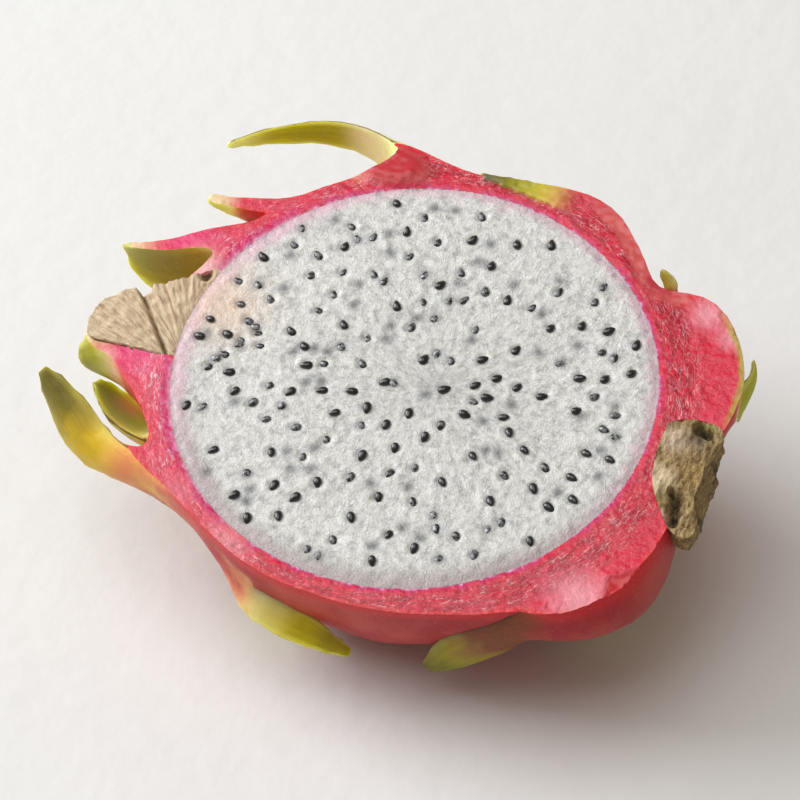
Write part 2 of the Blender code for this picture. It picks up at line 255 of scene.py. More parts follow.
def back_scales():
    """The scales of the hidden back, each lying along the skin below it."""
    found = {}
    past_root, rise = BACK_RISE
    for row, (turn, stand, roots) in enumerate(BACK_ROWS):
        angle = math.radians(turn)
        arch = BACK_ARCH + BACK_ARCHING * stand
        for place, x in enumerate(roots):
            tip_x = max(x - BACK_LENGTH, BACK_TIP_LIMIT)
            spine = []
            for at, off in ((x - past_root, rise), ((x + tip_x) / 2, arch), (tip_x, stand)):
                point = skin(at, angle)
                spine.append(point + skin_normal(plain_skin(at, angle)) * off)
            found[f"back_{row}_{place}"] = Scale(x, turn, 3, spine, BACK_WIDTH)
    return found


ALL_SCALES = [*SHOWN_SCALES.values(), *back_scales().values()]
print("scales:", len(ALL_SCALES))

# %% [markdown]
# ## The cage of the rind
#
# A UV sphere with its poles at the two scars is pulled onto the skin. Each scale
# is a patch of its faces, extruded station by station along the spine, and a
# Subdivision Surface rounds the whole. This way every scale grows smoothly out of
# the skin, as a bract does, with no joint to hide. Each vertex also remembers how
# far along its scale it is, how near its edge, and on which face, so that the
# colours can follow the scale later.

# %% The sphere and the extrusion of the scales
STATIONS = ((0.2, 1.15), (0.5, 0.98), (0.82, 0.68), (1.0, 0.2))
TIP_THINNING = 0.45
EDGE_THINNING = 0.72
SIDE_SHARE = 0.45
LOOK_AHEAD = 0.02
MEMORY = ("tip", "across", "inner", "green", "gold", "olive", "ruddy")


def sphere_cage():
    """A unit sphere of quads with its poles on x, its lines off the cut."""
    bm = bmesh.new()
    bmesh.ops.create_uvsphere(bm, u_segments=COLUMNS, v_segments=RINGS, radius=1.0)
    half_step = Matrix.Rotation(math.pi / COLUMNS, 3, "Z")
    upright = Matrix.Rotation(math.pi / 2, 3, "Y")
    bmesh.ops.rotate(bm, verts=bm.verts, matrix=upright @ half_step)
    return bm


def along(points, share):
    """The point at this share of the smooth curve through evenly set points."""
    last = len(points) - 1
    found = Vector((0.0, 0.0, 0.0))
    for index, point in enumerate(points):
        weight = 1.0
        for other in range(len(points)):
            if other != index:
                weight *= (share * last - other) / (index - other)
        found += point * weight
    return found


def scale_section(scale, share, width_share):
    """Rows of points across a scale: its inner face, then its outer face."""
    spine = [skin(scale.x, scale.turn), *scale.spine]
    middle = along(spine, share)
    ahead = along(spine, min(1.0, share + LOOK_AHEAD)) - along(spine, share - LOOK_AHEAD)
    ahead.normalize()
    side = Vector((0.0, -math.sin(scale.turn), math.cos(scale.turn)))
    if scale.side:
        side = side.lerp(scale.side, min(1.0, share / SIDE_SHARE))
    side = (side - ahead * side.dot(ahead)).normalized()
    outer = ahead.cross(side)
    half = scale.half_width * width_share
    thick = scale.thick * (1.0 - TIP_THINNING * share)
    rows = ([], [])
    for step in range(scale.cells + 1):
        across = 2.0 * step / scale.cells - 1.0
        belly = 1.0 - EDGE_THINNING * across**2
        base = middle + side * (half * across) - outer * (scale.cup * half * across**2)
        rows[0].append(base - outer * (0.5 * thick * belly))
        rows[1].append(base + outer * (0.5 * thick * belly))
    return rows


def extrude(bm, faces, keep=False):
    """Extrudes faces in place and returns the new verts and faces."""
    grown = bmesh.ops.extrude_face_region(bm, geom=faces)["geom"]
    if not keep:
        bmesh.ops.delete(bm, geom=faces, context="FACES")
    verts = [g for g in grown if isinstance(g, bmesh.types.BMVert)]
    return verts, [g for g in grown if isinstance(g, bmesh.types.BMFace)]


def grow_scale(bm, vert_at, memory, scale):
    """Extrudes a scale out of the skin's cage, one station at a time."""
    polar = math.acos((scale.x - WIDEST_X) / reach_at(scale.x))
    ring = int(polar / RING_STEP)
    first = round(scale.turn / COLUMN_STEP - scale.cells / 2 - 0.5)
    label = {}
    for k in range(scale.cells + 1):
        column = (first + k) % COLUMNS
        label[vert_at[ring + 1, column]] = (0, k)
        label[vert_at[ring, column]] = (1, k)
    for vert in label:
        for name, tint in scale.tints.items():
            vert[memory[name]] = tint
    faces = [f for f in bm.faces if len(f.verts) == 4 and all(v in label for v in f.verts)]
    for share, width_share in STATIONS:
        rows = scale_section(scale, share, width_share)
        place = {tuple(v.co): key for v, key in label.items()}
        verts, faces = extrude(bm, faces)
        label = {vert: place[tuple(vert.co)] for vert in verts}
        for vert, (row, k) in label.items():
            vert.co = rows[row][k]
            vert[memory["tip"]] = share
            vert[memory["across"]] = 2.0 * k / scale.cells - 1.0
            vert[memory["inner"]] = 1.0 - row
            for name, tint in scale.tints.items():
                vert[memory[name]] = tint


def rind_cage():
    """The skin's cage with every scale grown out of it."""
    bm = sphere_cage()
    memory = {name: bm.verts.layers.float.new(name) for name in MEMORY}
    vert_at = {}
    for vert in bm.verts:
        polar = math.acos(max(-1.0, min(1.0, vert.co.x)))
        turn = math.atan2(vert.co.z, vert.co.y)
        vert_at[round(polar / RING_STEP), round(turn / COLUMN_STEP - 0.5) % COLUMNS] = vert
        reach = TO_STEM_END if vert.co.x > 0 else TO_BLOSSOM_END
        vert.co = skin(WIDEST_X + reach * vert.co.x, turn)
        vert[memory["green"]] = 1.0
    for scale in ALL_SCALES:
        grow_scale(bm, vert_at, memory, scale)
    bmesh.ops.recalc_face_normals(bm, faces=bm.faces)
    return bm

# %% Helpers that turn a bmesh into a piece
def raw_object(name, bm):
    """An object of the fruit frame, for the steps before a piece is finished."""
    mesh = bpy.data.meshes.new(name)
    bm.to_mesh(mesh)
    bm.free()
    thing = bpy.data.objects.new(name, mesh)
    bpy.context.scene.collection.objects.link(thing)
    return thing


def bake(thing):
    """Applies an object's modifiers to its mesh."""
    bpy.context.view_layer.update()
    graph = bpy.context.evaluated_depsgraph_get()
    thing.data = bpy.data.meshes.new_from_object(thing.evaluated_get(graph))
    thing.modifiers.clear()


def subdivide(thing, levels):
    """Rounds an object's cage."""
    modifier = thing.modifiers.new("round", "SUBSURF")
    modifier.levels = levels
    modifier.render_levels = levels
    bake(thing)


def cut(thing, *cutters):
    """Takes closed cutters out of a closed object."""
    for cutter in cutters:
        modifier = thing.modifiers.new("cut", "BOOLEAN")
        modifier.operation = "DIFFERENCE"
        modifier.solver = "MANIFOLD"
        modifier.object = cutter
        bake(thing)


def remember(thing, name, values):
    """Keeps a number for each vertex, which a finish reads by its name."""
    if name in thing.data.attributes:
        thing.data.attributes.remove(thing.data.attributes[name])
    layer = thing.data.attributes.new(name, "FLOAT", "POINT")
    layer.data.foreach_set("value", values)


def one_finish(thing, finish):
    """The same finish all over, also where a cutter left its own."""
    thing.data.materials.clear()
    thing.data.materials.append(finish)
    for face in thing.data.polygons:
        face.material_index = 0


def finish_piece(thing, sharp=50):
    thing.data.transform(TO_WORLD)
    thing.data.shade_smooth()
    thing.data.set_sharp_from_angle(angle=math.radians(sharp))
    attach(thing, "root")
    triangles = sum(len(p.vertices) - 2 for p in thing.data.polygons)
    print(thing.name, "triangles:", triangles)


# %% [markdown]
# ## Recipes for the finishes
#
# Each finish is a node tree on a Principled shader. A small helper class adds the
# nodes and wires them, so that a finish reads like a recipe. Patterns are laid out
# in the fruit's own frame, in millimetres: a Mapping node undoes the lean, and a
# noise scale of 1 then means one lump each millimetre.

# %% A helper that reads like a recipe
class Recipe:
    """A Principled material whose nodes are added one call at a time."""

    def __init__(self, name):
        self.material = bpy.data.materials.new(name)
        self.material.use_nodes = True
        self.tree = self.material.node_tree
        self.shader = self.tree.nodes["Principled BSDF"]
        texture = self.tree.nodes.new("ShaderNodeTexCoord")
        mapping = self.tree.nodes.new("ShaderNodeMapping")
        mapping.inputs["Scale"].default_value = (1 / MM,) * 3
        mapping.inputs["Rotation"].default_value = (-LEAN, 0.0, 0.0)
        mapping.inputs["Location"].default_value = TO_FRUIT.translation
        self.tree.links.new(texture.outputs["Object"], mapping.inputs["Vector"])
        self.fruit = mapping.outputs["Vector"]
        place = self.tree.nodes.new("ShaderNodeSeparateXYZ")
        self.tree.links.new(self.fruit, place.inputs["Vector"])
        self.x, self.y, self.z = place.outputs

    def fill(self, socket, value):
        """Wires a socket, or sets it to a plain number or colour."""
        if isinstance(value, bpy.types.NodeSocket):
            self.tree.links.new(value, socket)
        else:
            socket.default_value = value

    def set(self, **values):
        """Fills the shader's own sockets."""
        for name, value in values.items():
            self.fill(self.shader.inputs[name.replace("_", " ")], value)

    def math(self, operation, a, b=0.0, c=0.0):
        node = self.tree.nodes.new("ShaderNodeMath")
        node.operation = operation
        for socket, value in zip(node.inputs, (a, b, c)):
            self.fill(socket, value)
        return node.outputs["Value"]

    def times(self, first, *others):
        """All of these multiplied."""
        for other in others:
            first = self.math("MULTIPLY", first, other)
        return first

    def plus(self, first, *others):
        """All of these added."""
        for other in others:
            first = self.math("ADD", first, other)
        return first

    def largest(self, first, *others):
        """The largest of these."""
        for other in others:
            first = self.math("MAXIMUM", first, other)
        return first

    def less(self, value):
        """What is missing from 1."""
        return self.math("SUBTRACT", 1.0, value)

    def step(self, value, low, high):
        """Runs smoothly from 0 at low to 1 at high."""
        node = self.tree.nodes.new("ShaderNodeMapRange")
        node.interpolation_type = "SMOOTHSTEP"
        for name, number in (("Value", value), ("From Min", low), ("From Max", high)):
            self.fill(node.inputs[name], number)
        return node.outputs["Result"]

    def mix(self, a, b, factor):
        """Blends two colours."""
        node = self.tree.nodes.new("ShaderNodeMix")
        node.data_type = "RGBA"
        for name, value in (("Factor_Float", factor), ("A_Color", a), ("B_Color", b)):
            socket = next(s for s in node.inputs if s.identifier == name)
            self.fill(socket, (*value, 1.0) if isinstance(value, tuple) else value)
        return next(s for s in node.outputs if s.identifier == "Result_Color")

    def ramp(self, factor, stops):
        """A colour for each place on a scale from 0 to 1."""
        node = self.tree.nodes.new("ShaderNodeValToRGB")
        ramp = node.color_ramp
        while len(ramp.elements) < len(stops):
            ramp.elements.new(1.0)
        for element, (at, colour) in zip(ramp.elements, stops):
            element.position = at
            element.color = (*colour, 1.0)
        self.fill(node.inputs["Fac"], factor)
        return node.outputs["Color"]

    def noise(self, scale, detail=2.0, roughness=0.5, vector=None, distortion=0.0):
        node = self.tree.nodes.new("ShaderNodeTexNoise")
        self.fill(node.inputs["Vector"], vector or self.fruit)
        for name, value in (
            ("Scale", scale), ("Detail", detail), ("Roughness", roughness),
            ("Distortion", distortion),
        ):
            node.inputs[name].default_value = value
        return node.outputs["Fac"]

    def swing(self, amount, scale, detail=2.0):
        """A noise round zero, which makes an edge wander."""
        return self.times(self.math("SUBTRACT", self.noise(scale, detail), 0.5), amount)

    def worms(self, scale, width, vector=None):
        """Thin winding lines: where a noise passes its middle value."""
        middle = self.math("SUBTRACT", self.noise(scale, 1.0, 0.4, vector, 0.6), 0.5)
        return self.less(self.step(self.math("ABSOLUTE", middle), 0.0, width))

    def memory(self, name):
        """A number that the mesh remembers at each vertex."""
        node = self.tree.nodes.new("ShaderNodeAttribute")
        node.attribute_name = name
        return node.outputs["Fac"]

    def joined(self, x, y, z):
        """Three numbers as one vector."""
        node = self.tree.nodes.new("ShaderNodeCombineXYZ")
        for socket, value in zip(node.inputs, (x, y, z)):
            self.fill(socket, value)
        return node.outputs["Vector"]

    def near(self, x, y, reach):
        """From 1 at a place of the cut down to 0 at this reach from it."""
        dx = self.math("SUBTRACT", self.x, x)
        dy = self.math("SUBTRACT", self.y, y)
        away = self.math("SQRT", self.plus(self.times(dx, dx), self.times(dy, dy)))
        return self.less(self.step(away, 0.0, reach))

    def polar(self, middle, around, outwards, away=None):
        """The frame bent round a point of the cut: x runs around, y outwards."""
        dx = self.math("SUBTRACT", self.x, middle[0])
        dy = self.math("SUBTRACT", self.y, middle[1])
        if away is None:
            away = self.math("SQRT", self.plus(self.times(dx, dx), self.times(dy, dy)))
        angle = self.math("ARCTAN2", dy, dx)
        return self.joined(self.times(angle, around), self.times(away, outwards), self.z)

    def bump(self, height, millimetres, under=None):
        """Relief that the light sees, of this height in the real world."""
        node = self.tree.nodes.new("ShaderNodeBump")
        node.inputs["Strength"].default_value = 1.0
        node.inputs["Distance"].default_value = millimetres * MM
        self.fill(node.inputs["Height"], height)
        if under:
            self.fill(node.inputs["Normal"], under)
        return node.outputs["Normal"]

# %% [markdown]
# ## The skin's finish
#
# The skin runs from coral to crimson in soft patches, with fine pale pores. On a
# scale it turns to peach, cream and green along the length, or to gold on some,
# and each scale says where along it that happens. Its thin edge has dried to a
# brown line. A list of places adds what only one spot of the fruit has.

# %% Skin, from coral to green
CORAL = (0.55, 0.060, 0.052)
RED = (0.41, 0.015, 0.022)
PORE = (0.86, 0.40, 0.33)
PEACH = (0.87, 0.36, 0.17)
CREAM = (0.86, 0.75, 0.42)
PALE_LIME = (0.72, 0.72, 0.26)
LIME = (0.47, 0.49, 0.015)
GOLD = (0.56, 0.38, 0.008)
OLIVE = (0.085, 0.078, 0.010)
RUDDY = (0.24, 0.065, 0.022)
AMBER = (0.78, 0.54, 0.06)
BRONZE = (0.40, 0.30, 0.015)
DRY_EDGE = (0.10, 0.05, 0.02)
UNDER_CUT = (0.64, 0.022, 0.030)
IN_SHADE = (0.34, 0.05, 0.035)

# Tinted places of the scales: x, y, reach, how strong, and the colour.
SCALE_PLACES = (
    (-49.0, 42.0, 8.0, 1.0, (0.80, 0.84, 0.50)),
    (-25.0, 51.5, 7.5, 0.9, (0.92, 0.84, 0.55)),
    (-44.5, -28.0, 8.0, 0.9, (0.68, 0.22, 0.10)),
    (-51.5, -9.0, 5.0, 0.7, (0.78, 0.30, 0.20)),
)


def bare_skin(recipe):
    """The red of the skin between the scales, brightest just under the cut."""
    patches = recipe.noise(0.06, 3.0, 0.6)
    colour = recipe.mix(CORAL, RED, recipe.step(patches, 0.36, 0.60))
    under_cut = recipe.step(recipe.z, -3.8, -1.2)
    colour = recipe.mix(colour, UNDER_CUT, recipe.times(under_cut, 0.9))
    pores = recipe.step(recipe.noise(2.4, 2.0, 0.65), 0.58, 0.70)
    colour = recipe.mix(colour, PORE, recipe.times(pores, 0.16))
    shaded = recipe.times(recipe.step(recipe.x, 34.0, 50.0), recipe.step(recipe.z, -2.0, -12.0))
    return recipe.mix(colour, IN_SHADE, recipe.times(shaded, 0.6))


def skin_finish():
    """The whole outside: bare skin, and the scales from root to tip."""
    recipe = Recipe("dragon_fruit_skin")
    tip, inner = recipe.memory("tip"), recipe.memory("inner")
    across, gold = recipe.memory("across"), recipe.memory("gold")
    ripe_at = recipe.plus(tip, recipe.swing(0.28, 0.25))
    ripening = recipe.math("SUBTRACT", ripe_at, recipe.memory("green"))
    place = recipe.plus(ripening, 0.5)
    green = recipe.ramp(
        place, ((0.20, PEACH), (0.40, CREAM), (0.52, PALE_LIME), (0.72, LIME), (1.0, LIME)),
    )
    golden = recipe.ramp(place, ((0.20, PEACH), (0.38, AMBER), (0.66, GOLD), (0.95, BRONZE)))
    face = recipe.mix(green, golden, gold)
    streaks = recipe.joined(
        recipe.times(across, 5.0), recipe.times(tip, 1.3), recipe.times(inner, 3.0),
    )
    streak = recipe.step(recipe.noise(1.5, 3.0, 0.6, streaks), 0.44, 0.66)
    face = recipe.mix(face, OLIVE, recipe.times(streak, 0.13, recipe.step(ripening, 0.0, 0.3)))
    dark = recipe.times(recipe.step(ripening, 0.12, 0.62), recipe.memory("olive"))
    face = recipe.mix(face, OLIVE, dark)
    outwards = recipe.math("ABSOLUTE", across)
    lighter = recipe.less(recipe.times(recipe.memory("olive"), 0.8))
    margin = recipe.times(
        recipe.step(outwards, 0.62, 0.92), recipe.step(tip, 0.2, 0.45), lighter, 0.55,
    )
    face = recipe.mix(face, PALE_LIME, margin)
    unripe = recipe.less(recipe.step(ripening, 0.05, 0.40))
    face = recipe.mix(face, RUDDY, recipe.times(unripe, recipe.memory("ruddy")))
    for x, y, reach, weight, tint in SCALE_PLACES:
        face = recipe.mix(face, tint, recipe.times(recipe.near(x, y, reach), weight))

    on_scale = recipe.step(ripening, -0.42, -0.12)
    colour = recipe.mix(bare_skin(recipe), face, on_scale)
    off_middle = recipe.math("ABSOLUTE", recipe.math("SUBTRACT", inner, 0.5))
    between_faces = recipe.less(recipe.step(off_middle, 0.08, 0.30))
    rim = recipe.times(recipe.step(outwards, 0.74, 0.86), between_faces, on_scale)
    colour = recipe.mix(colour, DRY_EDGE, recipe.times(rim, 0.9))

    fine = recipe.bump(recipe.noise(2.0, 4.0, 0.65), 0.09)
    veins = recipe.bump(streak, 0.05, recipe.bump(recipe.noise(0.5, 3.0, 0.5), 0.22, fine))
    recipe.set(
        Base_Color=colour, Roughness=0.45, Normal=veins, Specular_IOR_Level=0.20,
        Subsurface_Weight=recipe.plus(recipe.times(on_scale, 0.75), 0.03),
        Subsurface_Radius=(1.0, 0.85, 0.15), Subsurface_Scale=0.005,
        Coat_Weight=0.05, Coat_Roughness=0.3,
    )
    return recipe.material


SKIN = skin_finish()
print("finish:", SKIN.name)

# %% [markdown]
# ## The cut rind's finish
#
# The rind is crimson where the knife went through it, with a magenta line along
# the flesh and a salmon line under the skin. Wet fibres catch the light as fine
# winding glints. They are both a pale colour and a relief, and they run along the
# rim where the band is thin.

# %% Cut rind, wet and fibrous
CUT_CRIMSON = (0.66, 0.010, 0.045)
CUT_DEEP = (0.42, 0.003, 0.024)
CUT_PINK = (0.78, 0.11, 0.19)
HOT_PINK = (0.82, 0.055, 0.21)
PALE_PINK = (0.84, 0.32, 0.37)
MAGENTA = (0.56, 0.014, 0.14)
LILAC = (0.80, 0.36, 0.54)
GLINT = (0.92, 0.46, 0.47)
PALE_GLINT = (0.96, 0.70, 0.77)
OUTER_RED = (0.68, 0.018, 0.05)
SALMON = (0.76, 0.05, 0.05)
MARGIN_GREEN = (0.42, 0.33, 0.05)
SHOULDER_CORAL = (0.62, 0.095, 0.090)
SHOULDER_RED = (0.50, 0.030, 0.045)
ROOT_CORAL = (0.68, 0.11, 0.10)
ROOT_RED = (0.54, 0.030, 0.042)
LEAF_STOPS = (
    (0.0, OLIVE), (0.3, (0.36, 0.32, 0.02)), (0.62, (0.56, 0.46, 0.035)),
    (0.85, (0.70, 0.40, 0.10)), (1.0, (0.74, 0.20, 0.12)),
)
LINE_WIDTH = 4.0
HEART = (4.0, 1.0)

# Tinted places of the cut rind: x, y, reach, how strong, and the colour.
RIND_PLACES = (
    (45.5, 28.5, 5.0, 0.9, PALE_PINK),
    (51.0, 25.0, 4.5, 0.8, PALE_PINK),
    (40.0, -31.0, 8.0, 0.9, PALE_PINK),
    (42.8, -34.2, 2.2, 0.8, PALE_LIME),
    (-21.5, -38.0, 8.0, 0.6, PALE_PINK),
    (-33.0, -31.0, 6.0, 0.3, PALE_PINK),
    (-50.0, -4.5, 9.0, 0.9, HOT_PINK),
    (-49.0, 19.5, 8.0, 0.8, HOT_PINK),
    (-45.0, 14.0, 6.0, 0.9, (0.86, 0.55, 0.52)),
    (-23.8, 41.2, 4.5, 0.8, (0.84, 0.36, 0.22)),
    (-58.5, -3.5, 6.0, 1.0, (0.72, 0.56, 0.22)),
    (-55.0, -8.5, 3.5, 0.9, (0.84, 0.42, 0.36)),
    (-61.5, 17.0, 4.0, 1.0, (0.72, 0.60, 0.34)),
)


def cut_rind_finish():
    """The wet band that the knife bared, and the skin that folds over its edge."""
    recipe = Recipe("dragon_fruit_cut_rind")
    off_flesh = recipe.memory("off_flesh")
    deep = recipe.memory("deep")
    layers = recipe.polar(HEART, 12.0, 1.5, off_flesh)
    layered = recipe.step(recipe.noise(1.0, 2.0, 0.5, layers), 0.42, 0.60)
    by_flesh = recipe.less(recipe.step(off_flesh, 5.0, 10.0))
    body = recipe.mix(CUT_CRIMSON, CUT_DEEP, recipe.times(layered, by_flesh, 0.9))
    leftwards = recipe.step(recipe.x, -15.0, -42.0)
    body = recipe.mix(body, CUT_PINK, recipe.times(leftwards, 0.55))
    patches = recipe.step(recipe.noise(0.10, 2.0), 0.50, 0.70)
    body = recipe.mix(body, CUT_PINK, recipe.times(patches, 0.2))
    wander = recipe.swing(2.4, 0.7, 3.0)
    band = recipe.plus(recipe.times(leftwards, 1.3), 1.0)
    line_off = recipe.math("DIVIDE", recipe.plus(off_flesh, wander), band)
    line = recipe.ramp(
        recipe.math("DIVIDE", line_off, LINE_WIDTH),
        ((0.0, LILAC), (0.11, MAGENTA), (0.34, CUT_CRIMSON)),
    )
    line = recipe.mix(line, CUT_CRIMSON, recipe.step(recipe.noise(0.16, 2.0), 0.46, 0.66))
    colour = recipe.mix(line, body, recipe.step(line_off, 0.7, 1.7))

    small = recipe.worms(1.5, 0.055, recipe.polar(HEART, 15.0, 1.4, off_flesh))
    loose = recipe.worms(2.1, 0.05)
    off_line = recipe.step(off_flesh, 1.0, 2.2)
    thick = recipe.times(off_line, recipe.less(recipe.step(off_flesh, 5.0, 9.0)))
    gather = recipe.step(recipe.noise(0.30, 2.0), 0.34, 0.60)
    gathered = recipe.plus(recipe.times(gather, 0.55), 0.2)
    lit = recipe.largest(
        recipe.times(small, thick, gathered), recipe.times(loose, gather, 0.20),
    )
    glint = recipe.mix(GLINT, PALE_GLINT, leftwards)
    colour = recipe.mix(colour, glint, lit)
    outer = recipe.times(recipe.less(recipe.step(deep, 0.8, 3.2)), leftwards)
    colour = recipe.mix(colour, OUTER_RED, recipe.times(outer, 0.7))

    under_skin = recipe.less(recipe.step(deep, 0.10, 0.75))
    colour = recipe.mix(colour, SALMON, recipe.times(under_skin, 0.75))
    for x, y, reach, weight, tint in RIND_PLACES:
        colour = recipe.mix(colour, tint, recipe.times(recipe.near(x, y, reach), weight))
    ragged = recipe.plus(deep, recipe.times(recipe.noise(0.5, 3.0), 1.2))
    far_side = recipe.step(recipe.y, 5.0, 12.0)
    far_margin = recipe.times(
        recipe.less(recipe.step(ragged, 0.9, 1.9)), recipe.step(recipe.x, 46.0, 51.5), far_side,
    )
    colour = recipe.mix(colour, MARGIN_GREEN, recipe.times(far_margin, 0.9))
    shoulder = recipe.times(
        recipe.less(recipe.step(ragged, 2.6, 3.8)), recipe.step(recipe.x, 16.0, 24.0),
        recipe.less(recipe.step(recipe.x, 40.0, 43.0)), far_side,
    )
    shoulder_red = recipe.mix(SHOULDER_CORAL, SHOULDER_RED, patches)
    colour = recipe.mix(colour, shoulder_red, shoulder)
    by_skin = recipe.less(recipe.step(deep, 1.6, 2.6))
    green = recipe.times(recipe.step(recipe.memory("tip"), 0.55, 0.95), by_skin)
    colour = recipe.mix(colour, CREAM, recipe.times(green, 0.85))
    fold, mound, leaf = (recipe.memory(name) for name in ("fold", "mound", "leaf"))
    colour = recipe.mix(colour, bare_skin(recipe), recipe.step(fold, 0.05, 0.9))
    root = recipe.mix(ROOT_CORAL, ROOT_RED, recipe.step(mound, 0.2, 1.0))
    colour = recipe.mix(colour, root, recipe.step(mound, 0.0, 0.8))
    leaf_colour = recipe.ramp(recipe.step(recipe.x, -2.0, 18.0), LEAF_STOPS)
    colour = recipe.mix(colour, leaf_colour, leaf)

    fibrous = recipe.less(recipe.largest(mound, shoulder, leaf, fold))
    wet_lines = recipe.bump(recipe.times(lit, fibrous), 0.10)
    relief = recipe.bump(recipe.times(recipe.noise(1.1, 3.0), fibrous), 0.28, wet_lines)
    recipe.set(
        Base_Color=colour, Roughness=0.27, Normal=relief, Specular_IOR_Level=0.40,
        Subsurface_Weight=0.12, Subsurface_Radius=(1.0, 0.3, 0.3), Subsurface_Scale=0.0012,
        Coat_Weight=0.18, Coat_Roughness=0.12,
    )
    return recipe.material


CUT_RIND = cut_rind_finish()
print("finish:", CUT_RIND.name)

# %% [markdown]
# ## The seeds' places
#
# Seeds lie all through the flesh, and the knife bares some of them. They are
# thrown like darts that keep a distance from each other, a little closer along
# the fruit's axis. The first throw repeats the measured model's. A second throw
# adds seeds that lie deeper, which show only as grey shadows or as half a seed.

# %% Throwing the seeds
SEED_COUNT = 135
SEED_LENGTH = 2.3
SEED_WIDTH = 1.5
SEED_SPACING = 4.1
SEED_MARGIN = 2.6
SEED_DRAW = 11
FAINT_COUNT = 75
FAINT_SPACING = 2.1
FAINT_DRAW = 29
CROWD_Y = 0.5  # the seeds crowd along this line of the cut,
CROWD_SPREAD = 7.0  # within about this distance,
CROWDING = 0.45  # to this much less spacing
FAN_FLATTENED = 0.35  # seeds fan out from the middle, mostly sideways,
FAN_LOOSENESS = 0.6  # give or take this angle


def throw_seeds(seed, count, spacing, taken):
    """Darts on the flesh, none closer to another than the spacing."""
    draw = random.Random(seed)
    places = []
    while len(places) < count:
        angle = draw.uniform(0.0, math.tau)
        reach = math.sqrt(draw.random())
        place = Vector((
            reach * math.cos(angle) * (FLESH_RADII.x - SEED_MARGIN),
            reach * math.sin(angle) * (FLESH_RADII.y - SEED_MARGIN),
            0.0,
        ))
        x, y, _ = FLESH_TURN @ place + FLESH_MIDDLE
        near_axis = math.exp(-((y - CROWD_Y) / CROWD_SPREAD) ** 2)
        apart = spacing * (1.0 - CROWDING * near_axis)
        if all(math.hypot(x - p, y - q) > apart for p, q, _ in [*taken, *places]):
            loose = draw.uniform(-FAN_LOOSENESS, FAN_LOOSENESS)
            places.append((x, y, math.atan2(y, FAN_FLATTENED * x) + loose))
    return places


BARE_SEEDS = throw_seeds(SEED_DRAW, SEED_COUNT, SEED_SPACING, [])
FAINT_SEEDS = throw_seeds(FAINT_DRAW, FAINT_COUNT, FAINT_SPACING, BARE_SEEDS)
print("seeds bared:", len(BARE_SEEDS), "deeper:", len(FAINT_SEEDS))

# %% [markdown]
# ## The knife
#
# One knife cuts the rind and the flesh, so their cut faces meet without a step.
# It is a box whose underside is a fine grid with the relief of a real cut: the
# face sags a little, the pulp stands in radial strands and grains, and each seed
# sits in its own dent. A Boolean then gives both pieces this relief as true
# geometry. The dry flower and stub are torn, so each gets a rougher knife later.

# %% Where the cut face rises and falls
SAG = (0.35, 0.05)  # a height and how often it comes, here and below
STRAND = (0.15, 16.0, 0.28)
PULP_GRAINS = ((0.17, 0.75), (0.08, 1.7))
RIND_GRAINS = ((0.16, 0.8), (0.10, 1.6))
GROOVE_DEPTH = 0.25
GROOVE_WIDTH = 0.8
RIND_DROP = 0.10
RIND_DROP_REACH = 6.0

DENT_REACH = 2.4
DENT_DEPTH = 0.34
DENT_WIDTH = 1.05
DENT_LIP_HEIGHT = 0.13
DENT_LIP_AT = 1.6
DENT_LIP_WIDTH = 0.5

MOUND_AT = (-18.3, 43.2)
MOUND_REACH = (9.5, 5.2)
MOUND_TOP = 1.7
MOUND_HEIGHT = 1.5
LEAF_ENDS = (-2.0, 17.5)
LEAF_LOW = (44.5, 41.4)
LEAF_WANDER = 0.25
LEAF_EDGE = 0.4
LEAF_END_SHARES = (0.06, 0.30)
LEAF_HEIGHT = 0.8
FOLD_LINE = (Vector((43.8, -34.5)), Vector((43.2, -26.0)), Vector((53.0, -18.8)))
FOLD_WIDTH = 1.4
FOLD_SLOPE = 0.10
FOLD_LIP = 0.15
FOLD_LIP_WIDTH = 1.1

# %% The height of the cut face
SEED_CELL = 5
SEED_GRID = {}


def seed_cell(x, y):
    """The square of the cut that a point lies in, to find the seeds close to it."""
    return int(x // SEED_CELL), int(y // SEED_CELL)


for seed_x, seed_y, _ in BARE_SEEDS:
    SEED_GRID.setdefault(seed_cell(seed_x, seed_y), []).append((seed_x, seed_y))


def bell(away, width):
    """From 1 at a place down to 0 far from it."""
    return math.exp(-((away / width) ** 2))


def flesh_distance(x, y):
    """How far a point of the cut is outside the flesh, in millimetres."""
    local = FLESH_TURN.inverted() @ (Vector((x, y, 0.0)) - FLESH_MIDDLE)
    ratio = math.hypot(local.x / FLESH_RADII.x, local.y / FLESH_RADII.y)
    return (ratio - 1.0) * FLESH_MEAN_RADIUS


def seed_dent(x, y):
    """The dent and the raised lip round each bared seed."""
    depth = 0.0
    cell_x, cell_y = seed_cell(x, y)
    for i in (-1, 0, 1):
        for j in (-1, 0, 1):
            for p, q in SEED_GRID.get((cell_x + i, cell_y + j), ()):
                away = math.hypot(x - p, y - q)
                if away < DENT_REACH:
                    depth -= DENT_DEPTH * bell(away, DENT_WIDTH)
                    depth += DENT_LIP_HEIGHT * bell(away - DENT_LIP_AT, DENT_LIP_WIDTH)
    return depth


def past(start, end, x, y):
    """How far a point is to the right of the line from start to end."""
    ahead = (end - start).normalized()
    return (x - start.x) * ahead.y - (y - start.y) * ahead.x


def eased(share):
    """The share clipped to 0..1, with soft ends."""
    share = max(0.0, min(1.0, share))
    return share * share * (3.0 - 2.0 * share)


def past_fold(x, y):
    """How far a point of the cut is beyond the line where the skin folds down."""
    start, corner, end = FOLD_LINE
    return min(past(start, corner, x, y), past(corner, end, x, y))


def fold_share(x, y):
    """From 0 on the cut to 1 on the skin that folds down at the stem end."""
    return eased(past_fold(x, y) / FOLD_WIDTH)


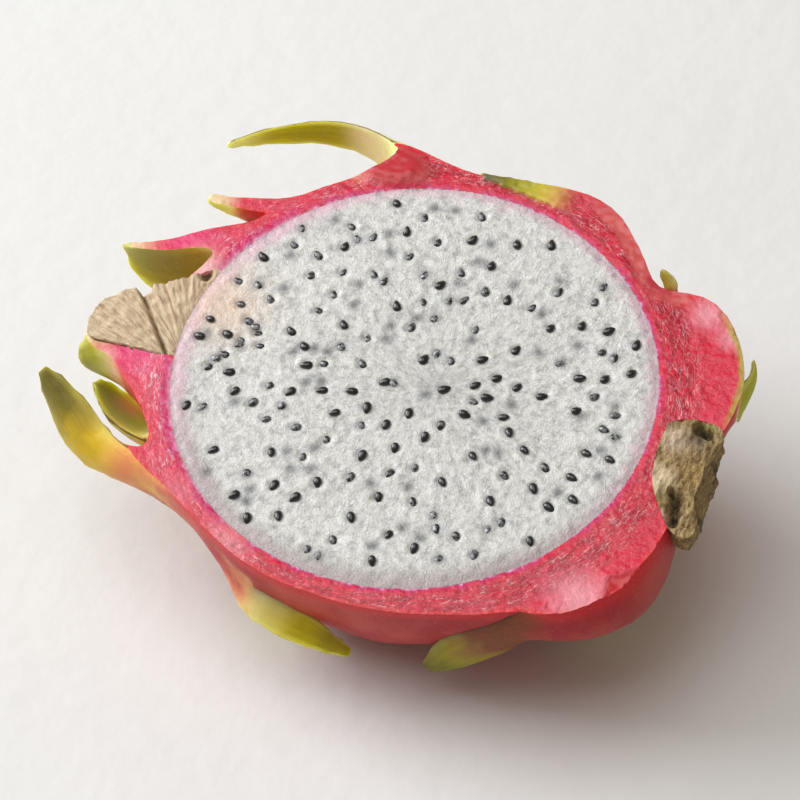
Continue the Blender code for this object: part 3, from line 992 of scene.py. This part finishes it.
def mound_share(x, y):
    """From 1 on the bare skin at the root of the crest scale down to 0 round it."""
    dx, dy = x - MOUND_AT[0], y - MOUND_AT[1]
    away = math.hypot(dx / MOUND_REACH[0], dy / MOUND_REACH[1])
    return eased(MOUND_TOP - MOUND_TOP * away)


def leaf_share(x, y):
    """1 on the flat scale that lies over the far rim."""
    start, end = LEAF_ENDS
    share = (x - start) / (end - start)
    low = LEAF_LOW[0] + (LEAF_LOW[1] - LEAF_LOW[0]) * share
    low += LEAF_WANDER * noise.noise(Vector((x * 0.5, 0.0, 0.0)))
    at_start, at_end = LEAF_END_SHARES
    return eased((y - low) / LEAF_EDGE) * eased(share / at_start) * eased((1.0 - share) / at_end)


def fanned(x, y, middle, around, outwards, aside):
    """Where a noise is read so that it stands in strands round a point of the cut."""
    dx, dy = x - middle[0], y - middle[1]
    return Vector((math.atan2(dy, dx) * around, math.hypot(dx, dy) * outwards, aside))


def cut_height(x, y):
    """The relief of the cut face at a point of it, in millimetres."""
    place = Vector((x, y, 0.0))
    height = SAG[0] * noise.noise(place * SAG[1] + Vector((3.1, 0.0, 0.0)))
    off = flesh_distance(x, y)
    if off < 0.0:
        size, around, outwards = STRAND
        height += size * noise.noise(fanned(x, y, HEART, around, outwards, 5.0))
        for size, often in PULP_GRAINS:
            height += size * noise.noise(place * often)
        return height + seed_dent(x, y) - GROOVE_DEPTH * bell(off, GROOVE_WIDTH)
    for size, often in RIND_GRAINS:
        height += size * noise.noise(place * often)
    height -= GROOVE_DEPTH * bell(off, GROOVE_WIDTH)
    height -= RIND_DROP * min(off, RIND_DROP_REACH)
    height += MOUND_HEIGHT * mound_share(x, y)
    height += LEAF_HEIGHT * leaf_share(x, y)
    height -= FOLD_SLOPE * max(0.0, past_fold(x, y))
    return height + FOLD_LIP * bell(past_fold(x, y), FOLD_LIP_WIDTH)


# %% The knife itself
KNIFE_STEP = 0.40
KNIFE_LOW = (-68.0, -56.0)
KNIFE_HIGH = (64.0, 58.0)
KNIFE_TOP = 60.0


def add_both_finishes(thing):
    """The skin's finish and the cut's, in that order, for what meets in a cut."""
    for finish in (SKIN, CUT_RIND):
        thing.data.materials.append(finish)


def knife(name, low, high, step, height_at):
    """A box above the cut face, whose underside has the relief."""
    bm = bmesh.new()
    cells = [round((b - a) / step) for a, b in zip(low, high)]
    bmesh.ops.create_grid(bm, x_segments=cells[0], y_segments=cells[1], size=0.5)
    size = Vector((high[0] - low[0], high[1] - low[1], 1.0))
    bmesh.ops.scale(bm, vec=size, verts=bm.verts)
    middle = Vector(((low[0] + high[0]) / 2, (low[1] + high[1]) / 2, 0.0))
    bmesh.ops.translate(bm, vec=middle, verts=bm.verts)
    for vert in bm.verts:
        vert.co.z = height_at(vert.co.x, vert.co.y)
    rim = [edge for edge in bm.edges if len(edge.link_faces) == 1]
    raised = bmesh.ops.extrude_edge_only(bm, edges=rim)["geom"]
    for vert in (g for g in raised if isinstance(g, bmesh.types.BMVert)):
        vert.co.z = KNIFE_TOP
    top = [g for g in raised if isinstance(g, bmesh.types.BMEdge)]
    bmesh.ops.contextual_create(bm, geom=[e for e in top if len(e.link_faces) == 1])
    bmesh.ops.recalc_face_normals(bm, faces=bm.faces)
    for face in bm.faces:
        face.material_index = 1
    thing = raw_object(name, bm)
    add_both_finishes(thing)
    return thing


KNIFE = knife("knife", KNIFE_LOW, KNIFE_HIGH, KNIFE_STEP, cut_height)
print("knife faces:", len(KNIFE.data.polygons))

# %% [markdown]
# ## The rooms in the rind
#
# The rind is a bowl for the flesh, with a socket for the dried flower at one end
# and for the woody stub at the other. Each room is the shape of what fills it.

# %% Shapes of the flesh, the flower and the stub
# Each ring has its x, the middle's y, half its width and its depth.
FLOWER_RINGS = (
    (-39.6, 5.9, 9.4, 8.0),
    (-43.0, 4.1, 9.4, 8.0),
    (-46.5, 2.3, 7.8, 7.0),
    (-51.0, 1.3, 6.5, 6.2),
    (-56.0, 0.0, 5.6, 5.4),
    (-60.3, -2.2, 3.6, 4.2),
)
FLOWER_FOLDS = 14
STUB_RINGS = (
    (44.6, 0.0, 5.5, 6.0),
    (47.5, -1.5, 8.5, 8.5),
    (51.0, -4.0, 11.6, 11.0),
    (54.0, -4.8, 11.8, 11.5),
    (55.4, -4.6, 9.6, 9.6),
    (54.6, -5.0, 7.2, 6.8),
    (53.6, -4.6, 5.2, 5.2),
)
STUB_FOLDS = 9
FOLD_DEPTH = 0.05
PLUG_SEGMENTS = 72
TABLE_SIZE = (200.0, 200.0, 60.0)


def flesh_shape(name, grown):
    """The flesh's whole ellipsoid, grown all round by a part of a millimetre."""
    bm = sphere_cage()
    bmesh.ops.subdivide_edges(bm, edges=bm.edges, cuts=2, use_grid_fill=True)
    for vert in bm.verts:
        vert.co.normalize()
    bmesh.ops.scale(bm, vec=FLESH_RADII + Vector((grown, grown, grown)), verts=bm.verts)
    bmesh.ops.rotate(bm, verts=bm.verts, matrix=FLESH_TURN)
    bmesh.ops.translate(bm, vec=FLESH_MIDDLE, verts=bm.verts)
    bmesh.ops.recalc_face_normals(bm, faces=bm.faces)
    return raw_object(name, bm)


def folded_plug(name, rings, folds, grown=0.0):
    """A plug along x, extruded ring by ring, with lengthwise folds."""
    bm = bmesh.new()
    bmesh.ops.create_circle(bm, cap_ends=True, segments=PLUG_SEGMENTS, radius=1.0)
    half_step = Matrix.Rotation(math.pi / PLUG_SEGMENTS, 3, "Z")
    upright = Matrix.Rotation(math.pi / 2, 3, "Y")
    bmesh.ops.rotate(bm, verts=bm.verts, matrix=upright @ half_step)
    turns = {vert: math.atan2(vert.co.z, vert.co.y) for vert in bm.verts}
    faces = list(bm.faces)
    for index, (x, middle_y, half, depth) in enumerate(rings):
        if index:
            turn_at = {tuple(vert.co): turn for vert, turn in turns.items()}
            verts, faces = extrude(bm, faces, index == 1)
            turns = {vert: turn_at[tuple(vert.co)] for vert in verts}
        for vert, turn in turns.items():
            fold = 1.0 + FOLD_DEPTH * math.sin(folds * turn)
            vert.co = Vector((
                x,
                middle_y + (half * fold + grown) * math.cos(turn),
                (depth * fold + grown) * math.sin(turn),
            ))
    bmesh.ops.recalc_face_normals(bm, faces=bm.faces)
    return raw_object(name, bm)


def table_block():
    """All that is below the surface the half lies on, in the fruit frame."""
    bm = bmesh.new()
    bmesh.ops.create_cube(bm, size=1.0)
    bmesh.ops.scale(bm, vec=TABLE_SIZE, verts=bm.verts)
    bmesh.ops.translate(bm, vec=(0.0, 0.0, -TABLE_SIZE[2] / 2), verts=bm.verts)
    bmesh.ops.transform(bm, matrix=TO_FRUIT @ Matrix.Scale(MM, 4), verts=bm.verts)
    return raw_object("table_block", bm)

# %% [markdown]
# ## The rind
#
# The cage is rounded, given the slight unevenness of something grown, and cut.
# After the cuts each vertex looks up the nearest point of the uncut skin: how far
# that is says how deep in the rind the vertex lies, and the scale's memory there
# says which colour belongs. So skin and cut face share one mesh and one outline.

# %% Round the cage and let it grow uneven
SKIN_DENTS = ((0.30, 0.11), (0.16, 0.30))
SCALE_WAVES = (0.45, 0.55)
WAVING_FROM = 3.0
CALMED_BY_EDGE = 0.6


def roughen_skin(thing):
    """Slow dents all over, and waves along the thin edges of the scales."""
    across = thing.data.attributes["across"].data
    tip = thing.data.attributes["tip"].data
    normals = [vert.normal.copy() for vert in thing.data.vertices]
    size, often = SCALE_WAVES
    for index, vert in enumerate(thing.data.vertices):
        dents = sum(depth * noise.noise(vert.co * rate) for depth, rate in SKIN_DENTS)
        thin = across[index].value ** 2 * min(1.0, WAVING_FROM * tip[index].value)
        wave = size * thin * noise.noise(vert.co * often + Vector((0.0, 9.0, 0.0)))
        vert.co += normals[index] * (dents * (1.0 - CALMED_BY_EDGE * thin) + wave)


rind = raw_object("rind_dressed", rind_cage())
subdivide(rind, 2)
roughen_skin(rind)
WHOLE_SKIN = BVHTree.FromPolygons(
    [vert.co.copy() for vert in rind.data.vertices],
    [tuple(face.vertices) for face in rind.data.polygons],
)
WHOLE_FACES = [tuple(face.vertices) for face in rind.data.polygons]
WHOLE_PLACES = [vert.co.copy() for vert in rind.data.vertices]
WHOLE_MEMORY = {
    name: [entry.value for entry in rind.data.attributes[name].data] for name in MEMORY
}
add_both_finishes(rind)
print("whole skin faces:", len(WHOLE_FACES))

# %% Cut it, and let each vertex look up where it is
ROOM_GAP = 0.1


def look_up_skin(thing):
    """Gives each vertex the nearest skin's memory, and its depth below it."""
    found = {name: [] for name in (*MEMORY, "deep", "off_flesh", "fold", "mound", "leaf")}
    for vert in thing.data.vertices:
        near, _, face, away = WHOLE_SKIN.find_nearest(vert.co)
        corners = WHOLE_FACES[face]
        weights = interpolate.poly_3d_calc([WHOLE_PLACES[c] for c in corners], near)
        for name in MEMORY:
            values = WHOLE_MEMORY[name]
            found[name].append(sum(w * values[c] for w, c in zip(weights, corners)))
        found["deep"].append(away)
        found["off_flesh"].append(max(0.0, flesh_distance(vert.co.x, vert.co.y)))
        found["fold"].append(fold_share(vert.co.x, vert.co.y))
        found["mound"].append(mound_share(vert.co.x, vert.co.y))
        found["leaf"].append(leaf_share(vert.co.x, vert.co.y))
    for name, values in found.items():
        remember(thing, name, values)


flesh_room = flesh_shape("flesh_room", FLESH_GROWN - ROOM_GAP)
flower_room = folded_plug("flower_room", FLOWER_RINGS, FLOWER_FOLDS, ROOM_GAP)
stub_room = folded_plug("stub_room", STUB_RINGS, STUB_FOLDS, ROOM_GAP)
subdivide(flower_room, 1)
subdivide(stub_room, 1)
for room in (flesh_room, flower_room, stub_room):
    add_both_finishes(room)
    for face in room.data.polygons:
        face.material_index = 1
table = table_block()
cut(rind, KNIFE, flesh_room, flower_room, stub_room, table)
look_up_skin(rind)
finish_piece(rind)
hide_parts("rind")

# %% [markdown]
# ## The flesh
#
# The pulp is white and full of water. Light goes some way into it, so the shader
# scatters below the surface, and the wet grains glint. It blushes lilac along the
# rind and peach by the scar of the flower. Deeper seeds show as grey shadows,
# which the mesh remembers.

# %% Wet pulp
PULP = (0.71, 0.69, 0.655)
GLASSY = (0.47, 0.465, 0.445)
# White of the pulp strands, and painted wet glints.
STRAND_WHITE_AND_GLINT = (0.90, 0.89, 0.87)
BLUSH = (0.72, 0.36, 0.48)
# Painted shade for the flesh by its near, lower rim.
LOW_RIM_SHADE = (0.42, 0.37, 0.35)
PEACH_BLUSH = (0.80, 0.58, 0.43)
SEED_SHADOW = (0.12, 0.12, 0.13)


def flesh_finish():
    """White grains and strands, glassy between, a blush by the rind, painted shade by the near
    rim.
    """
    recipe = Recipe("dragon_fruit_flesh")
    strands = recipe.noise(1.0, 3.0, 0.6, recipe.polar(HEART, 15.0, 0.45))
    grains = recipe.noise(0.9, 4.0, 0.65)
    glassy = recipe.plus(recipe.times(strands, 0.5), recipe.times(grains, 0.5))
    colour = recipe.mix(GLASSY, PULP, recipe.step(glassy, 0.36, 0.56))
    threads = recipe.worms(0.8, 0.08, recipe.polar(HEART, 34.0, 0.9))
    specks = recipe.step(recipe.noise(2.0, 2.0, 0.6), 0.56, 0.66)
    clumps = recipe.step(recipe.noise(0.35, 2.0), 0.40, 0.62)
    # White pulp strands in the threads, and painted wet glints in the specks.
    wet = recipe.largest(recipe.times(threads, 0.55), specks)
    colour = recipe.mix(colour, STRAND_WHITE_AND_GLINT, recipe.times(wet, clumps, 0.8))
    off = recipe.memory("off_flesh")
    leftwards = recipe.times(recipe.step(recipe.x, -15.0, -40.0), 1.2)
    rimwards = recipe.step(
        recipe.plus(off, recipe.swing(3.5, 0.5, 3.0), leftwards), -2.6, 0.3,
    )
    strandy = recipe.plus(recipe.times(strands, 0.9), 0.1)
    colour = recipe.mix(colour, BLUSH, recipe.times(rimwards, strandy))
    # Painted shade: the flesh darkens towards its rim on the near, lower side.
    near_side = recipe.less(recipe.step(recipe.y, -30.0, 0.0))
    low_rim_shade = recipe.times(recipe.step(off, -5.0, -1.0), near_side)
    colour = recipe.mix(colour, LOW_RIM_SHADE, recipe.times(low_rim_shade, 0.75))
    colour = recipe.mix(colour, PEACH_BLUSH, recipe.memory("scar"))
    colour = recipe.mix(colour, SEED_SHADOW, recipe.times(recipe.memory("shadow"), 0.85))

    small = recipe.noise(2.4, 3.0, 0.7)
    relief = recipe.bump(threads, 0.05, recipe.bump(small, 0.24))
    recipe.set(
        Base_Color=colour, Normal=relief,
        Roughness=recipe.plus(recipe.times(grains, 0.25), 0.16),
        Subsurface_Weight=0.45, Subsurface_Radius=(1.0, 0.95, 0.9), Subsurface_Scale=0.0018,
        Coat_Weight=0.3, Coat_Roughness=0.14,
    )
    return recipe.material


FLESH = flesh_finish()
print("finish:", FLESH.name)

# %% Cut the flesh and give it its memory
SCAR_AT = Vector((-38.0, 7.0))
SCAR_REACH = 7.0
SCAR_BLUSH = 0.75
SHADOW_REACH = 2.5
SHADOW_SPREAD = 1.1


def remember_flesh(thing):
    """The distance to the rim, the blush by the scar and the deep seeds' shade."""
    off, scar, shadow = [], [], []
    for vert in thing.data.vertices:
        x, y, _ = vert.co
        off.append(flesh_distance(x, y))
        away = (Vector((x, y)) - SCAR_AT).length
        scar.append(SCAR_BLUSH * bell(away, SCAR_REACH))
        dark = 0.0
        for p, q, _ in FAINT_SEEDS:
            if abs(x - p) < SHADOW_REACH and abs(y - q) < SHADOW_REACH:
                dark = max(dark, math.exp(-(((x - p) ** 2 + (y - q) ** 2) / SHADOW_SPREAD)))
        shadow.append(dark)
    for name, values in (("off_flesh", off), ("scar", scar), ("shadow", shadow)):
        remember(thing, name, values)


flesh = flesh_shape("flesh_dressed", FLESH_GROWN)
cut(flesh, KNIFE)
remember_flesh(flesh)
one_finish(flesh, FLESH)
finish_piece(flesh)
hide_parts("flesh")

# %% [markdown]
# ## The seeds
#
# A seed is a small glossy drop, black with a hint of brown. All of them are one
# mesh, a few dozen faces each. Most stand half out of their dents, tilted a
# little, and some of the deeper ones lie almost under the pulp.

# %% Black glossy drops
SEED_BLACK = (0.011, 0.010, 0.011)
SEED_FILM = (0.30, 0.30, 0.31)
SEED_DEPTH = 1.25
SEED_SIZES = (0.9, 1.08)
SEED_TAPER = 0.55
SEED_TILT = 0.35
SEED_RAISED = 0.30
SEED_SUNK = (0.0, 0.05, 0.1, 0.3, 0.45)
FILM_FROM = 0.2
BARE_FILM = 0.5
FAINT_SUNK = 0.62
FAINT_SHOWN = 3  # one in this many of the deeper ones comes up to the cut
SEED_LAY = 5


def seed_finish():
    """Black, with a torn film of pulp over the ones that lie deeper."""
    recipe = Recipe("dragon_fruit_seed")
    film = recipe.times(recipe.memory("film"), recipe.step(recipe.noise(1.6), 0.42, 0.6))
    colour = recipe.mix(SEED_BLACK, SEED_FILM, film)
    recipe.set(
        Base_Color=colour, Roughness=0.26, Coat_Weight=0.5, Coat_Roughness=0.08,
        Normal=recipe.bump(recipe.noise(3.5, 2.0), 0.05),
    )
    return recipe.material


def add_seed(bm, film_layer, x, y, heading, sunk, draw, film):
    """One drop, lying along its heading, its point towards the fruit's heart."""
    made = bmesh.ops.create_uvsphere(bm, u_segments=8, v_segments=6, radius=0.5)["verts"]
    bmesh.ops.rotate(bm, verts=made, matrix=Matrix.Rotation(math.pi / 2, 3, "Y"))
    grown = draw.uniform(*SEED_SIZES)
    size = (SEED_LENGTH * grown, SEED_WIDTH * grown, SEED_DEPTH * grown)
    for vert in made:
        vert.co.y *= 1.0 - SEED_TAPER * vert.co.x
        vert.co.z *= 1.0 - SEED_TAPER * vert.co.x
        vert[film_layer] = film
    bmesh.ops.scale(bm, vec=size, verts=made)
    tilt = Matrix.Rotation(draw.uniform(-SEED_TILT, SEED_TILT), 3, "Y")
    bmesh.ops.rotate(bm, verts=made, matrix=Matrix.Rotation(heading, 3, "Z") @ tilt)
    height = cut_height(x, y) + SEED_RAISED - sunk
    bmesh.ops.translate(bm, vec=(x, y, height), verts=made)


def all_seeds():
    """Every seed that the cut shows, as one mesh."""
    draw = random.Random(SEED_LAY)
    bm = bmesh.new()
    film_layer = bm.verts.layers.float.new("film")
    for x, y, heading in BARE_SEEDS:
        sunk = draw.choice(SEED_SUNK)
        film = BARE_FILM * (sunk > FILM_FROM)
        add_seed(bm, film_layer, x, y, heading, sunk, draw, film)
    for x, y, heading in FAINT_SEEDS[::FAINT_SHOWN]:
        add_seed(bm, film_layer, x, y, heading, FAINT_SUNK, draw, 1.0)
    return raw_object("seeds", bm)


seeds = all_seeds()
seeds.data.materials.append(seed_finish())
finish_piece(seeds, 180)

# %% [markdown]
# ## The dried flower
#
# The withered flower stays at the blossom end. The knife has split it, so its
# cut face shows straw-coloured layers that fan out to the left, a dark crack
# right across, and hollows where it joins the flesh.

# %% Straw, cracked and ridged
STRAW = (0.66, 0.49, 0.31)
PALE_STRAW = (0.82, 0.68, 0.48)
# Painted shade for the flower's crack and hollows.
PAINTED_GAP_SHADE = (0.15, 0.085, 0.04)
DARK_STRAW = (0.36, 0.23, 0.12)
TAN = (0.55, 0.38, 0.23)
PINK_STRAW = (0.74, 0.50, 0.36)
FAN_FROM = (-38.0, -8.0)
FAN_RIDGES = ((0.35, 1.0), (0.16, 2.3))
FLOWER_LUMPS = (0.25, 0.6)
CRACK = (Vector((-55.1, 8.2)), Vector((-44.4, -5.1)))
CRACK_DEPTH = 1.5
CRACK_WIDTH = 0.38
CRACK_SHADE = 0.6
HOLLOW_DEPTH = 2.4
PIT_SHADE = 1.25
MEETS_FLESH = 2.0
FLOWER_GAP = 0.05
TORN_STEP = 0.22

# The hollows' places and radii.
HOLLOWS = (
    (-52.6, 6.8, 1.1), (-41.2, 9.8, 1.4), (-40.2, 6.2, 1.2), (-42.8, 12.2, 1.2),
    (-41.2, 3.6, 0.9),
)


def off_crack(x, y):
    """How far a point of the cut lies from the crack in the flower."""
    start, end = CRACK
    place = Vector((x, y))
    share = (place - start).dot(end - start) / (end - start).length_squared
    return (place - start.lerp(end, max(0.0, min(1.0, share)))).length


def in_pits(x, y, pits, wider=1.0):
    """For each pit, from 1 over most of it down to 0 outside it."""
    return [math.exp(-((math.hypot(x - p, y - q) / (wider * r)) ** 4)) for p, q, r in pits]


def flower_height(x, y):
    """The flower's torn face: fanned ridges, the crack and the hollows."""
    fan = fanned(x, y, FAN_FROM, 26.0, 0.12, 2.0)
    height = sum(size * noise.noise(fan * often) for size, often in FAN_RIDGES)
    size, often = FLOWER_LUMPS
    height += size * noise.noise(Vector((x, y, 0.0)) * often)
    height -= CRACK_DEPTH * bell(off_crack(x, y), CRACK_WIDTH)
    for share in in_pits(x, y, HOLLOWS):
        height -= HOLLOW_DEPTH * share
    meets = 1.0 - eased((flesh_distance(x, y) - FLESH_GROWN) / MEETS_FLESH)
    return height + (cut_height(x, y) - height) * meets


def flower_finish():
    """Straw in fanned ridges, pinker by the flesh, with painted shade down the crack and
    hollows.
    """
    recipe = Recipe("dried_flower_straw")
    fan = recipe.polar(FAN_FROM, 26.0, 0.35)
    ridges = recipe.noise(1.2, 4.0, 0.6, fan)
    patches = recipe.noise(0.35, 3.0)
    colour = recipe.ramp(ridges, ((0.28, DARK_STRAW), (0.42, STRAW), (0.60, PALE_STRAW)))
    colour = recipe.mix(colour, TAN, recipe.times(patches, 0.45))
    torn = recipe.step(recipe.noise(0.6, 3.0), 0.35, 0.6)
    by_flesh = recipe.times(recipe.near(*SCAR_AT, 9.0), torn)
    colour = recipe.mix(colour, PINK_STRAW, recipe.times(by_flesh, 0.8))
    # Painted shade: darker the deeper a point lies in the crack or a hollow.
    colour = recipe.mix(colour, PAINTED_GAP_SHADE, recipe.memory("sunk"))
    relief = recipe.bump(ridges, 0.35, recipe.bump(recipe.noise(2.6, 4.0, 0.7), 0.25))
    recipe.set(Base_Color=colour, Roughness=0.82, Normal=relief, Specular_IOR_Level=0.25)
    return recipe.material


def remember_depth(thing, full, openness_at):
    """How far each vertex lies down a pit or crack, as a share of a full depth."""
    values = []
    for vert in thing.data.vertices:
        below = cut_height(vert.co.x, vert.co.y) - vert.co.z
        share = max(0.0, min(1.0, below / full))
        values.append(share * openness_at(vert.co.x, vert.co.y))
    remember(thing, "sunk", values)


def in_flower_gap(x, y):
    """From 1 in the flower's crack and hollows to 0 outside them."""
    in_crack = math.exp(-((off_crack(x, y) / CRACK_SHADE) ** 4))
    return max(*in_pits(x, y, HOLLOWS, PIT_SHADE), in_crack)


def roughen(thing, slow, quick, bare_from, bare_to):
    """Weathers a dry piece where it leaves its socket: dents and torn bits."""
    normals = [vert.normal.copy() for vert in thing.data.vertices]
    for index, vert in enumerate(thing.data.vertices):
        push = slow * noise.noise(vert.co * 0.35) + quick * noise.noise(vert.co * 1.1)
        bare = eased((vert.co.x - bare_from) / (bare_to - bare_from))
        vert.co += normals[index] * (push * bare)


flower = folded_plug("flower_dressed", FLOWER_RINGS, FLOWER_FOLDS)
subdivide(flower, 2)
roughen(flower, 0.5, 0.35, -46.0, -50.0)
flower_knife = knife("flower_knife", (-66.0, -14.0), (-34.0, 22.0), TORN_STEP, flower_height)
flesh_clear = flesh_shape("flesh_clear", FLESH_GROWN + FLOWER_GAP)
cut(flower, flower_knife, flesh_clear)
remember_depth(flower, 2.2, in_flower_gap)
one_finish(flower, flower_finish())
finish_piece(flower)
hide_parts("dried_flower")

# %% [markdown]
# ## The stem stub
#
# Where the fruit was cut from its plant, the stub has dried to brown fibre, pale
# and smooth towards the flesh, torn and hollow at the end.

# %% Brown fibre
WOOD = (0.33, 0.21, 0.085)
DARK_WOOD = (0.11, 0.07, 0.03)
LIGHT_WOOD = (0.52, 0.37, 0.17)
# Painted shade for the stub's pits.
PAINTED_PIT_SHADE = (0.05, 0.035, 0.025)
THREAD_TAN = (0.62, 0.47, 0.26)

# The pits' places and radii.
PITS = (
    (50.6, -8.6, 1.3), (50.9, -10.8, 1.4), (51.2, -12.8, 1.2), (50.6, 5.6, 1.2),
    (52.3, 5.0, 1.0), (55.0, 1.0, 0.8), (55.2, -9.0, 0.9), (49.3, -7.4, 0.7),
)

# Tinted places of the stub: x, y, reach, how strong, and the colour.
STUB_PLACES = (
    (46.6, -5.8, 4.6, 1.0, (0.82, 0.66, 0.42)),
    (47.2, 2.5, 4.2, 1.0, (0.78, 0.60, 0.44)),
    (51.0, 3.4, 4.0, 0.9, (0.17, 0.13, 0.085)),
    (51.6, 8.6, 4.5, 1.0, (0.33, 0.32, 0.09)),
    (52.4, -3.6, 4.2, 0.6, (0.50, 0.31, 0.10)),
    (55.5, -3.0, 3.0, 0.7, (0.22, 0.16, 0.09)),
    (48.6, -13.5, 3.4, 1.0, (0.82, 0.50, 0.40)),
)


def stub_height(x, y):
    """The stub's torn face: fibres along it and a few pits."""
    height = 0.6 * noise.noise(Vector((x * 0.35, y * 0.35, 1.0)))
    height += 0.4 * noise.noise(Vector((x * 1.2, y * 0.5, 4.0)))
    height += 0.15 * noise.noise(Vector((x * 2.2, y * 2.2, 7.0)))
    for share in in_pits(x, y, PITS):
        height -= HOLLOW_DEPTH * share
    return height


def in_stub_pit(x, y):
    """From 1 in any of the stub's pits to 0 outside them."""
    return max(in_pits(x, y, PITS, PIT_SHADE))


def stub_finish():
    """Fibres from dark to light brown, with stained and bleached places and painted shade in
    pits.
    """
    recipe = Recipe("stem_stub_wood")
    lengthwise = recipe.joined(
        recipe.times(recipe.x, 1.6), recipe.times(recipe.y, 0.7), recipe.z,
    )
    fibres = recipe.noise(1.0, 4.0, 0.65, lengthwise)
    colour = recipe.ramp(fibres, ((0.30, DARK_WOOD), (0.45, WOOD), (0.62, LIGHT_WOOD)))
    for x, y, reach, weight, tint in STUB_PLACES:
        colour = recipe.mix(colour, tint, recipe.times(recipe.near(x, y, reach), weight))
    # Painted shade: darker the deeper a point lies in a pit.
    sunk = recipe.step(recipe.memory("sunk"), 0.25, 0.9)
    colour = recipe.mix(colour, PAINTED_PIT_SHADE, recipe.times(sunk, 0.85))
    threads = recipe.worms(1.1, 0.06, lengthwise)
    colour = recipe.mix(colour, THREAD_TAN, recipe.times(threads, 0.35))
    crosswise = recipe.joined(recipe.y, recipe.times(recipe.x, 2.0), recipe.z)
    dark_lines = recipe.worms(0.9, 0.05, crosswise)
    outwards = recipe.step(recipe.x, 47.5, 50.0)
    colour = recipe.mix(colour, DARK_WOOD, recipe.times(dark_lines, outwards, 0.7))
    relief = recipe.bump(fibres, 0.7, recipe.bump(recipe.noise(2.2, 4.0, 0.7), 0.35))
    recipe.set(Base_Color=colour, Roughness=0.8, Normal=relief, Specular_IOR_Level=0.25)
    return recipe.material


stub = folded_plug("stub_dressed", STUB_RINGS, STUB_FOLDS)
subdivide(stub, 2)
roughen(stub, 0.6, 0.4, 49.5, 52.5)
stub_knife = knife("stub_knife", (42.0, -22.0), (60.0, 14.0), TORN_STEP, stub_height)
cut(stub, stub_knife)
remember_depth(stub, 2.0, in_stub_pit)
one_finish(stub, stub_finish())
finish_piece(stub)
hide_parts("stem_stub")

# %% Clear the cutters away
rooms = (flesh_room, flower_room, stub_room, flesh_clear, table)
for cutter in (KNIFE, flower_knife, stub_knife, *rooms):
    bpy.data.objects.remove(cutter)

# %% [markdown]
# ## The floor, the light and the camera
#
# The fruit lies on a plain pale plaster floor. A low window on the left gives most
# of the light, so the shadow falls softly to the right. A weaker soft light above
# keeps the cut face white, and the warm room fills the shadow. The camera looks
# down at 46 degrees from a little to the right.

# %% Plaster floor
FLOOR_HALF = 1.6
PLASTER = (0.745, 0.735, 0.72)
PALE_PLASTER = (0.785, 0.775, 0.76)


def floor_finish():
    """Pale plaster with a faint unevenness."""
    recipe = Recipe("pale_plaster")
    patches = recipe.noise(0.02, 4.0, 0.6)
    colour = recipe.mix(PLASTER, PALE_PLASTER, patches)
    relief = recipe.bump(recipe.noise(0.15, 4.0), 0.25)
    recipe.set(Base_Color=colour, Roughness=0.8, Normal=relief, Specular_IOR_Level=0.2)
    return recipe.material


def make_floor():
    bm = bmesh.new()
    bmesh.ops.create_grid(bm, x_segments=2, y_segments=2, size=FLOOR_HALF)
    floor = raw_object("floor", bm)
    floor.data.materials.append(floor_finish())
    return floor


make_floor()

# %% Light
LIT_PLACE = (0.0, 0.0, 0.02)
WINDOW_AT = (-1.25, 0.05, 0.75)
WINDOW_COLOUR = (0.93, 0.98, 1.03)
CEILING_AT = (-0.25, -0.17, 1.42)
CEILING_COLOUR = (0.98, 1.0, 1.0)
ROOM_COLOUR = (1.0, 0.89, 0.76, 1.0)
ROOM_STRENGTH = 0.27


def area_light(name, place, size, power, colour):
    """A square soft light at a place, facing the fruit."""
    light = bpy.data.lights.new(name, "AREA")
    light.size = size
    light.energy = power
    light.color = colour
    thing = bpy.data.objects.new(name, light)
    bpy.context.scene.collection.objects.link(thing)
    thing.location = place
    facing = Vector(LIT_PLACE) - Vector(place)
    thing.rotation_euler = facing.to_track_quat("-Z", "Y").to_euler()


area_light("window", WINDOW_AT, 1.1, 24.5, WINDOW_COLOUR)
area_light("ceiling", CEILING_AT, 1.2, 9.6, CEILING_COLOUR)
world = bpy.data.worlds.new("soft_room")
world.use_nodes = True
world.node_tree.nodes["Background"].inputs["Color"].default_value = ROOM_COLOUR
world.node_tree.nodes["Background"].inputs["Strength"].default_value = ROOM_STRENGTH
bpy.context.scene.world = world
bpy.context.scene.view_settings.view_transform = "Standard"
print("lights:", [thing.name for thing in bpy.data.lights])

# %% Camera
CAMERA_AZIMUTH = math.radians(19)
CAMERA_ELEVATION = math.radians(46)
CAMERA_DISTANCE = 0.62
MM_PER_PIXEL = 0.175
IMAGE_SIDE = 800
FRUIT_PIXEL = (412, 387)


def make_camera():
    """A long lens that puts the cut face's middle on its pixel, unshifted."""
    back = Vector((
        math.sin(CAMERA_AZIMUTH) * math.cos(CAMERA_ELEVATION),
        -math.cos(CAMERA_AZIMUTH) * math.cos(CAMERA_ELEVATION),
        math.sin(CAMERA_ELEVATION),
    ))
    right = Vector((math.cos(CAMERA_AZIMUTH), math.sin(CAMERA_AZIMUTH), 0.0))
    up = back.cross(right)
    aside = (FRUIT_PIXEL[0] - IMAGE_SIDE / 2) * MM_PER_PIXEL * MM
    above = (IMAGE_SIDE / 2 - FRUIT_PIXEL[1]) * MM_PER_PIXEL * MM
    lens = bpy.data.cameras.new("camera")
    lens.sensor_width = 36.0
    lens.lens = CAMERA_DISTANCE / (MM_PER_PIXEL * MM) * lens.sensor_width / IMAGE_SIDE
    camera = bpy.data.objects.new("camera", lens)
    bpy.context.scene.collection.objects.link(camera)
    turned = Matrix((right, up, back)).transposed().to_4x4()
    turned.translation = LIE_AT * MM + back * CAMERA_DISTANCE - right * aside - up * above
    camera.matrix_world = turned
    bpy.context.scene.camera = camera
    print("lens, mm:", round(lens.lens, 1))


make_camera()
